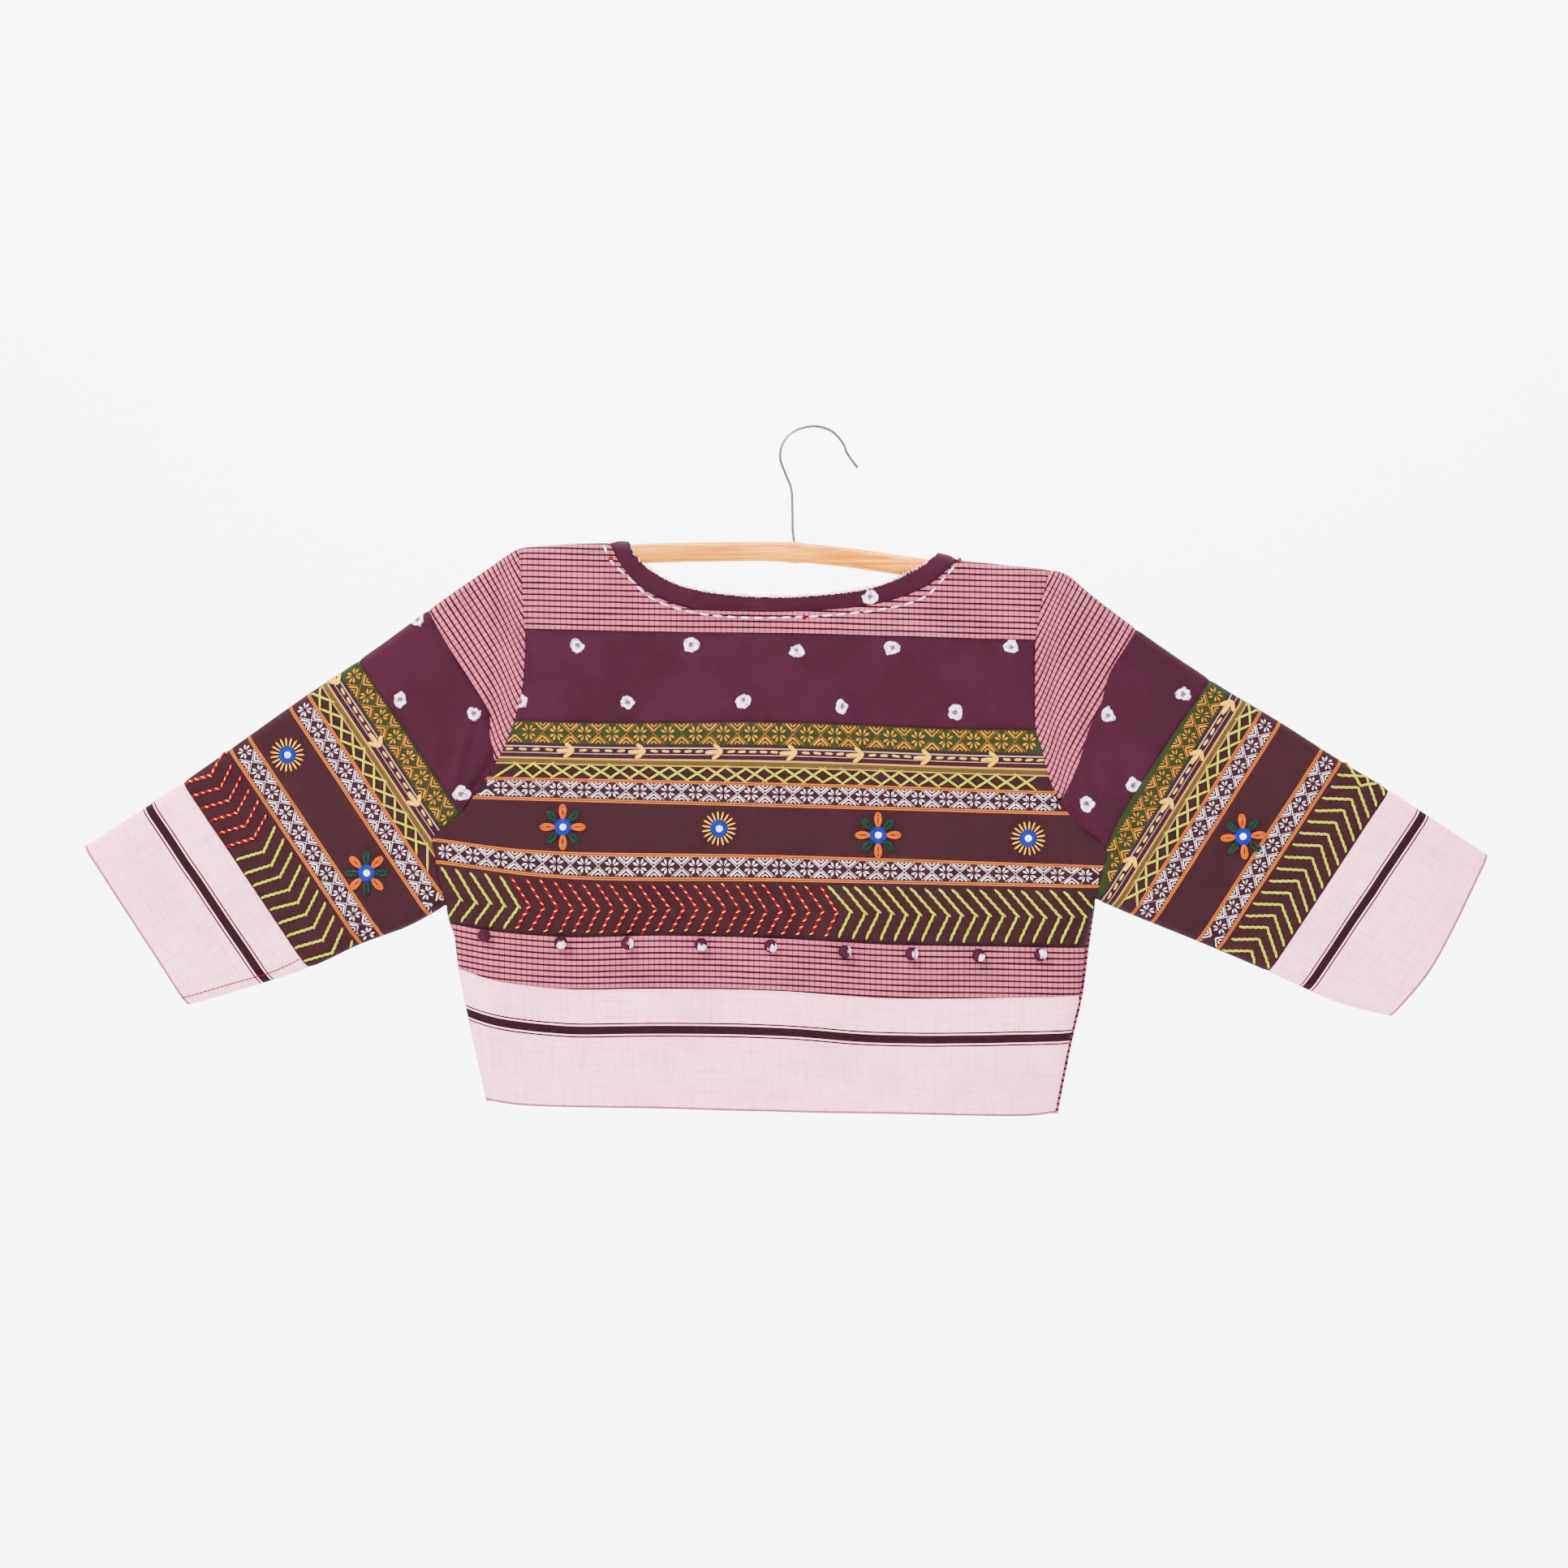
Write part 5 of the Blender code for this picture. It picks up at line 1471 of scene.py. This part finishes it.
class Recipe:
    """Adds nodes to one material and joins them. An operand is a number or a node's output."""

    def __init__(self, name, roughness, gloss=0.06, metallic=0.0):
        self.material = bpy.data.materials.new(name)
        self.material.use_nodes = True
        self.tree = self.material.node_tree
        self.shader = self.tree.nodes["Principled BSDF"]
        self.shader.inputs["Roughness"].default_value = roughness
        self.shader.inputs["Metallic"].default_value = metallic
        self.shader.inputs["Specular IOR Level"].default_value = gloss

    def feed(self, socket, value):
        if isinstance(value, bpy.types.NodeSocket):
            self.tree.links.new(value, socket)
        elif hasattr(value, "__len__") and len(value) == 3 and socket.type == "RGBA":
            socket.default_value = (*value, 1.0)
        else:
            socket.default_value = value

    def node(self, kind, inputs=(), **settings):
        made = self.tree.nodes.new(f"ShaderNode{kind}")
        for key, value in settings.items():
            setattr(made, key, value)
        for key, value in dict(inputs).items():
            self.feed(made.inputs[key], value)
        return made

    def math(self, operation, a, b=0.0):
        return self.node("Math", {0: a, 1: b, 2: 0.0}, operation=operation).outputs[0]

    def times(self, a, b):
        return self.math("MULTIPLY", a, b)

    def plus(self, a, b):
        return self.math("ADD", a, b)

    def less(self, a, b):
        return self.math("SUBTRACT", a, b)

    def smooth(self, value, low, high):
        """0 below low, 1 above high, and smooth between."""
        inputs = {"Value": value, "From Min": low, "From Max": high}
        return self.node("MapRange", inputs, interpolation_type="SMOOTHSTEP").outputs["Result"]

    def mix(self, factor, first, second):
        inputs = {0: factor, 6: first, 7: second}
        return self.node("Mix", inputs, data_type="RGBA", blend_type="MIX").outputs[2]

    def tint(self, ground, shade, mask, strength):
        """The ground with a shade laid over it, as strongly as the mask says."""
        return self.mix(self.times(mask, strength), ground, shade)

    def carried(self, name):
        """Three values that a piece's points carry."""
        return self.node("Attribute", attribute_name=name, attribute_type="GEOMETRY").outputs["Vector"]

    def cloth(self):
        """u, v and the third value that the panel's points carry."""
        return self.node("SeparateXYZ", {"Vector": self.carried("cloth")}).outputs[:]

    def stretched(self, u, v, across, down):
        """The point on the cloth, for a pattern that is finer where the factor is greater."""
        return self.vector(self.times(u, across), self.times(v, down))

    def vector(self, x, y):
        return self.node("CombineXYZ", {"X": x, "Y": y, "Z": 0.0}).outputs["Vector"]

    def place(self, scale=(1.0, 1.0, 1.0)):
        """The point on the object in millimetres, stretched."""
        made = self.node("TexCoord")
        moved = self.node("Mapping", {"Vector": made.outputs["Object"]})
        moved.inputs["Scale"].default_value = [s / MM for s in scale]
        return moved.outputs["Vector"]

    def noise(self, vector, scale=1.0, detail=3.0, roughness=0.5):
        inputs = {"Vector": vector, "Scale": scale, "Detail": detail, "Roughness": roughness}
        return self.node("TexNoise", inputs).outputs["Fac"]

    def line(self, value, period, half, soft):
        """1 on lines a period apart, of this half width, and 0 between."""
        folded = self.math("PINGPONG", value, period / 2)
        return self.less(1.0, self.smooth(folded, half - soft, half + soft))

    def weave(self, u, v, period, weight):
        """The height of a plain weave: sin(u) * sin(v), plus slubs of long narrow noise both ways. The
        two slubs come back too, for their colour."""
        waves = [self.math("SINE", self.times(axis, 2 * math.pi / period)) for axis in (u, v)]
        plain = self.times(*waves)
        slubs = [self.noise(self.stretched(u, v, *way)) for way in ((0.08, 1.3), (1.3, 0.08))]
        both = self.plus(*slubs)
        return self.times(self.plus(plain, self.times(both, 1.6)), weight), *slubs

    def finish(self, colour_value, height=None, strength=0.3, distance=0.0004):
        self.feed(self.shader.inputs["Base Color"], colour_value)
        if height is not None:
            bump = self.node("Bump", {"Strength": strength, "Distance": distance, "Height": height})
            self.feed(self.shader.inputs["Normal"], bump.outputs["Normal"])
        return self.material


def hue(name, factor=1.0):
    """A colour from the sidebar, made darker or lighter."""
    return tuple(min(1.0, c * factor) for c in getattr(bpy.context.scene.choli_colours, name))


def checked_cloth(name):
    """Pink handloom cotton with dark lines along it and faint grey lines across."""
    r = Recipe(name, 0.88)
    u, v, _ = r.cloth()
    height, slub_u, slub_v = r.weave(u, v, 0.85, 0.5)
    patch = r.noise(r.stretched(u, v, 0.02, 0.03), 1.0, 2.0)
    light, deep = hue("check_pink", 1.3), hue("check_pink", 0.72)
    ground = r.mix(r.smooth(patch, 0.3, 0.7), hue("check_pink"), light)
    ground = r.tint(ground, deep, r.smooth(slub_u, 0.5, 0.75), 0.55)
    ground = r.tint(ground, light, r.smooth(slub_v, 0.5, 0.75), 0.4)
    wander = r.times(r.less(r.noise(r.vector(r.times(u, 0.05), v), 0.4), 0.5), 0.9)
    ground = r.tint(ground, hue("check_grey"), r.line(u, 3.9, 0.42, 0.12), 0.72)
    dark = r.line(r.plus(v, wander), 4.15, 0.68, 0.1)
    return r.finish(r.tint(ground, hue("check_line"), dark, 0.97), height)


def tie_dyed_cloth(name):
    """Purple cotton, unevenly dyed, with white rings round maroon specks."""
    r = Recipe(name, 0.8)
    u, v, far = r.cloth()
    away = r.node("VectorMath", {0: r.carried("dot")}, operation="LENGTH").outputs["Value"]
    dot = r.math("MAXIMUM", away, r.less(far, 2.5))
    height, slub_u, _ = r.weave(u, v, 0.6, 0.4)
    patch = r.noise(r.place(), 0.018, 3.0, 0.6)
    dark = hue("purple", 0.85)
    ground = r.mix(r.smooth(patch, 0.3, 0.7), dark, hue("purple", 1.12))
    ground = r.tint(ground, dark, r.smooth(slub_u, 0.5, 0.8), 0.3)
    wobble = r.less(r.noise(r.place(), 0.16, 2.0), 0.5)
    ring = r.less(1.0, r.smooth(r.plus(dot, r.times(wobble, 7.5)), 4.1, 5.2))
    veil = r.smooth(r.noise(r.place(), 0.45), 0.36, 0.56)
    halfway = tuple(0.45 * a + 0.55 * b for a, b in zip(hue("dot_white"), hue("purple")))
    ground = r.mix(ring, ground, r.mix(veil, halfway, hue("dot_white")))
    grain = r.less(r.noise(r.place(), 0.6, 2.0), 0.5)
    speck = r.less(1.0, r.smooth(r.plus(dot, r.times(grain, 4.0)), 1.5, 2.2))
    return r.finish(r.tint(ground, dark, speck, 0.9), height)


def border_cloth(name):
    """Dark maroon border cloth, its woven stripes set by the depth below the gold seam."""
    r = Recipe(name, 0.82)
    u, v, _ = r.cloth()
    height, _, slub_v = r.weave(u, v, 0.55, 0.4)
    ramp = r.node("ValToRGB", {"Fac": r.math("DIVIDE", v, STRIPE_SPAN)})
    ramp.color_ramp.interpolation = "CONSTANT"
    stops = ramp.color_ramp.elements
    stops[1].position = STRIPES[-1][0] / STRIPE_SPAN
    for stop, (_, shade) in zip(stops, (STRIPES[0], STRIPES[-1])):
        stop.color = (*hue(shade), 1.0)
    for start, shade in STRIPES[1:-1]:
        stops.new(start / STRIPE_SPAN).color = (*hue(shade), 1.0)
    worn = r.smooth(r.noise(r.place(), 0.02), 0.4, 0.75)
    ground = r.tint(ramp.outputs["Color"], hue("border", 1.7), worn, 0.2)
    return r.finish(r.tint(ground, hue("border", 0.55), r.smooth(slub_v, 0.52, 0.8), 0.3), height)


def heathered_cloth(name):
    """Pale pink handloom cotton with reddish slubs and one dark stripe between thin lines."""
    r = Recipe(name, 0.9)
    u, v, free = r.cloth()
    height, slub_u, slub_v = r.weave(u, v, 0.8, 0.5)
    patch = r.noise(r.place(), 0.016, 4.0, 0.6)
    streak = hue("heather_streak")
    fine = r.noise(r.stretched(u, v, 0.5, 1.6), 1.0, 4.0, 0.7)
    ground = r.tint(hue("heather"), streak, r.smooth(patch, 0.45, 0.75), 0.35)
    ground = r.tint(ground, streak, r.smooth(slub_u, 0.5, 0.72), 0.4)
    ground = r.tint(ground, streak, r.smooth(slub_v, 0.52, 0.75), 0.28)
    ground = r.tint(ground, hue("heather_streak", 0.6), r.smooth(fine, 0.52, 0.7), 0.3)
    for way in ((0.03, 0.42), (0.42, 0.03)):
        slub = r.noise(r.stretched(u, v, *way), 1.0, 3.0, 0.6)
        ground = r.tint(ground, streak, r.smooth(slub, 0.48, 0.72), 0.38)
    half = HEM_STRIPE_WIDTH / 2
    away = r.math("ABSOLUTE", r.less(v, HEM_STRIPE["body"] + half))
    stripe = r.less(1.0, r.smooth(away, half - 0.15, half + 0.15))
    thin = r.less(1.0, r.smooth(r.math("ABSOLUTE", r.less(away, half + 1.6)), 0.45, 0.65))
    ground = r.mix(r.math("MAXIMUM", stripe, thin), ground, hue("hem_stripe"))
    ragged = r.plus(free, r.times(r.noise(r.place(), 0.5), 1.2))
    selvage = r.less(1.0, r.smooth(ragged, 1.9, 2.6))
    return r.finish(r.tint(ground, hue("selvage"), selvage, 0.8), height)


def ball_cloth(name):
    """Purple cotton over stuffing, with an undyed patch to one side."""
    r = Recipe(name, 0.82)
    u, v, facing = r.cloth()
    rough = r.times(r.less(r.noise(r.vector(u, v), 0.35), 0.5), 1.4)
    patch = r.smooth(r.plus(facing, rough), 0.62, 0.8)
    veil = r.smooth(r.noise(r.place(), 0.5), 0.3, 0.7)
    ground = r.mix(veil, hue("purple", 0.7), hue("purple", 1.6))
    ground = r.tint(ground, hue("dot_white"), patch, 0.85)
    return r.finish(ground, r.noise(r.place(), 2.2, 2.0), 0.35)


def stitch_thread(name, shade):
    """Stranded cotton: its shade varied a little, with the twist of its plies as a bump along it and painted
    shade in the troughs between its plies.
    """
    r = Recipe(name, 0.6, 0.05)
    along, around, _ = r.cloth()
    twist = r.math("SINE", r.plus(r.times(along, 4.2), r.times(around, 2.0)))
    vary = r.smooth(r.noise(r.place(), 0.25), 0.3, 0.7)
    ground = r.mix(vary, hue(shade, 0.8), hue(shade, 1.12))
    # Painted shade: the troughs of the twist are darkened in colour, as if shaded between the plies.
    ground = r.tint(ground, hue(shade, 0.45), r.smooth(twist, 0.55, -0.9), 0.35)
    return r.finish(ground, twist, 0.5, 0.0002)


def woven_thread(name, shade):
    """Floats of weaving thread, with fine ribs across."""
    r = Recipe(name, 0.55, 0.1)
    u, v, _ = r.cloth()
    ribs = r.math("SINE", r.times(r.plus(u, v), 11.0))
    vary = r.smooth(r.noise(r.place(), 0.12), 0.3, 0.7)
    return r.finish(r.mix(vary, hue(shade, 0.72), hue(shade, 1.1)), ribs, 0.4, 0.0002)


def small_mirror(name):
    """Silvered glass, slightly clouded."""
    r = Recipe(name, 0.09, metallic=1.0)
    cloud = r.noise(r.place(), 0.3, 2.0)
    return r.finish(r.mix(cloud, (0.78, 0.82, 0.88), (0.95, 0.96, 1.0)))


def hanger_wood(name):
    """Honey-coloured varnished wood: long grain along X, with darker patches at random."""
    r = Recipe(name, 0.45, 0.08)
    grain = r.noise(r.place((0.02, 0.55, 0.55)), 1.0, 5.0, 0.6)
    patch = r.noise(r.place((0.015, 0.06, 0.06)), 1.0, 2.0)
    ground = r.mix(r.smooth(grain, 0.4, 0.7), hue("wood"), hue("wood_dark"))
    ground = r.tint(ground, hue("wood_dark"), r.smooth(patch, 0.45, 0.7), 0.5)
    return r.finish(ground, grain, 0.15, 0.0003)


def hanger_wire(name):
    """Dull drawn steel wire with fine scratches along it."""
    r = Recipe(name, 0.34, metallic=1.0)
    marks = r.noise(r.place(), 0.9, 4.0)
    return r.finish(r.mix(r.smooth(marks, 0.4, 0.7), hue("wire"), hue("wire", 0.6)), marks, 0.15, 0.0001)


LOOKS = {
    "checked cloth": checked_cloth, "tie-dyed cloth": tie_dyed_cloth, "border cloth": border_cloth,
    "heathered cloth": heathered_cloth, "ball cloth": ball_cloth, "small mirror": small_mirror,
    "hanger wood": hanger_wood, "hanger wire": hanger_wire,
}


def material(name):
    """The material of this name, made at its first use. A thread's is named for its colour."""
    made = bpy.data.materials.get(name)
    if made:
        return made
    if name in LOOKS:
        return LOOKS[name](name)
    shade = name.removesuffix(" thread")
    if shade in ("gold", "white"):
        return woven_thread(name, shade)
    return stitch_thread(name, "heather" if shade == "blush" else shade)


# The stage

BOWL_SIDES = 96
BOWL_BEND = 1.0
WORLD_SHADE = (0.98, 0.98, 1, 1)
AIM = (0, 0, -0.25)
# Columns: light, place, what it points at, size, power
LIGHTS = (
    ("key", (-1.1, -1.9, 1.4), AIM, 0.8, 215),
    ("fill", (1.2, -2.3, 0), AIM, 1.6, 36),
    ("wall", (0, 0.9, 1.7), (0, 3.4, -0.4), 2.4, 560),
)
CAMERA_PLACE = (-0.0217, -2.013, -0.2526)


def bowl(name, floor, radius, high):
    """A round floor that curves up into a wall: a profile turned about the vertical axis. The bend is a
    quarter circle."""
    bend = np.linspace(0, math.pi / 2, 14)
    out, up = radius - BOWL_BEND * (1 - np.sin(bend)), floor + BOWL_BEND * (1 - np.cos(bend))
    out = np.concatenate([[0.02, 1], out, [radius]])[:, None]
    up = np.concatenate([[floor, floor], up, [floor + high]])[:, None]
    turns = np.linspace(0, 2 * math.pi, BOWL_SIDES, endpoint=False)
    verts = np.stack([out * np.cos(turns), out * np.sin(turns), up + 0 * turns], -1)
    quads, _ = round_faces(len(verts), BOWL_SIDES)
    mesh = bpy.data.meshes.new(name)
    mesh.from_pydata(verts.reshape(-1, 3), [], [tuple(range(BOWL_SIDES))[::-1]] + quads.tolist())
    mesh.shade_smooth()
    r = Recipe("matt white", 0.9)
    shade = r.mix(r.noise(r.place(), 0.002), (0.86, 0.86, 0.88), (0.9, 0.9, 0.91))
    mesh.materials.append(r.finish(shade))
    linked(name, mesh)


def area_light(name, place, aim, size, power):
    """A round soft light that points at its aim."""
    data = bpy.data.lights.new(name, "AREA")
    data.shape = "DISK"
    data.size = size
    data.energy = power
    made = linked(name, data)
    made.location = place
    made.rotation_euler = (Vector(aim) - Vector(place)).to_track_quat("-Z", "Y").to_euler()


def stage():
    """A pale round studio, soft lights and the level camera."""
    bowl("studio_floor", -1.3, 3.4, 4.4)
    for light in LIGHTS:
        area_light(*light)
    world = bpy.data.worlds.new("pale room")
    world.use_nodes = True
    sky = world.node_tree.nodes["Background"]
    sky.inputs["Color"].default_value = WORLD_SHADE
    sky.inputs["Strength"].default_value = 1.0
    bpy.context.scene.world = world
    data = bpy.data.cameras.new("camera")
    data.sensor_width = 36.0
    data.lens = 65.2
    camera = linked("camera", data)
    camera.location = CAMERA_PLACE
    camera.rotation_euler = (math.pi / 2, 0.0, 0.0)
    bpy.context.scene.camera = camera


def declare_cuts():
    """Caps each panel's flat area at its width times its length; nothing is done with the result."""
    for name, (wide, tall, area) in CUTS.items():
        area = min(area, wide * tall)


def neck():
    """The bindings and stitches of the neck."""
    neck_bindings()
    neck_stitches()


def border_work():
    """All that is woven in or sewn on the border cloth."""
    made = grounds()
    star_bands(made)
    embroidery(made)
    mirror_work(made)
    seam_stitches()
    thread_pieces()


def balls():
    """All fabric balls, numbered from the left."""
    for number, (x, z) in enumerate(BALLS, 1):
        ball(number, x, z)


def hanger():
    """The looks of the bar and the hook, which keep their solids."""
    for node, look in (("hanger_bar", "hanger wood"), ("hanger_hook", "hanger wire")):
        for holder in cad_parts[node].material_slots:
            holder.material = material(look)


class CholiStep:
    """What the steps share: each makes its own pieces, and an error there stops the script."""

    bl_options = {"REGISTER"}

    def execute(self, context):
        self.make()
        return {"FINISHED"}


class CHOLI_OT_back(CholiStep, bpy.types.Operator):
    """Hang the five panels of the back"""

    bl_idname = "choli.back"
    bl_label = "Back panels"
    make = staticmethod(back_panels)


class CHOLI_OT_fronts(CholiStep, bpy.types.Operator):
    """Hang the two fronts"""

    bl_idname = "choli.fronts"
    bl_label = "Fronts"
    make = staticmethod(fronts)


class CHOLI_OT_neck(CholiStep, bpy.types.Operator):
    """Bind the neck and sew its running stitches"""

    bl_idname = "choli.neck"
    bl_label = "Neck"
    make = staticmethod(neck)


class CHOLI_OT_sleeves(CholiStep, bpy.types.Operator):
    """Hang the panels of both sleeves"""

    bl_idname = "choli.sleeves"
    bl_label = "Sleeves"
    make = staticmethod(sleeve_panels)


class CHOLI_OT_border_work(CholiStep, bpy.types.Operator):
    """Weave the stars and sew the embroidery and mirrors on the border cloth"""

    bl_idname = "choli.border_work"
    bl_label = "Border work"
    make = staticmethod(border_work)


class CHOLI_OT_balls(CholiStep, bpy.types.Operator):
    """Stuff the fabric balls and sew them along the border seam"""

    bl_idname = "choli.balls"
    bl_label = "Fabric balls"
    make = staticmethod(balls)


class CHOLI_OT_hanger(CholiStep, bpy.types.Operator):
    """Finish the wooden bar and the wire hook"""

    bl_idname = "choli.hanger"
    bl_label = "Hanger"
    make = staticmethod(hanger)


class CHOLI_OT_stage(CholiStep, bpy.types.Operator):
    """Set up the studio, its lights and the camera"""

    bl_idname = "choli.stage"
    bl_label = "Stage"
    make = staticmethod(stage)


STEPS = (
    CHOLI_OT_back, CHOLI_OT_fronts, CHOLI_OT_neck, CHOLI_OT_sleeves, CHOLI_OT_border_work,
    CHOLI_OT_balls, CHOLI_OT_hanger, CHOLI_OT_stage,
)


class CHOLI_PT_panel(bpy.types.Panel):
    """The blouse's steps, sizes and colours in the sidebar"""

    bl_idname = "CHOLI_PT_panel"
    bl_label = "Choli Blouse"
    bl_space_type = "VIEW_3D"
    bl_region_type = "UI"
    bl_category = "Choli"

    def draw(self, context):
        for step in STEPS:
            self.layout.operator(step.bl_idname)
        for group in (context.scene.choli_sizes, context.scene.choli_colours):
            for key in group.bl_rna.properties.keys()[2:]:
                self.layout.prop(group, key)


CLASSES = (CholiSizes, CholiColours) + STEPS + (CHOLI_PT_panel,)


def register():
    for made in CLASSES:
        bpy.utils.register_class(made)
    bpy.types.Scene.choli_sizes = bpy.props.PointerProperty(type=CholiSizes)
    bpy.types.Scene.choli_colours = bpy.props.PointerProperty(type=CholiColours)


def unregister():
    del bpy.types.Scene.choli_colours
    del bpy.types.Scene.choli_sizes
    for made in reversed(CLASSES):
        bpy.utils.unregister_class(made)


def main():
    register()
    bpy.ops.choli.back()
    bpy.ops.choli.fronts()
    bpy.ops.choli.neck()
    bpy.ops.choli.sleeves()
    bpy.ops.choli.border_work()
    bpy.ops.choli.balls()
    bpy.ops.choli.hanger()
    bpy.ops.choli.stage()
    declare_cuts()


if __name__ == "__main__":
    main()
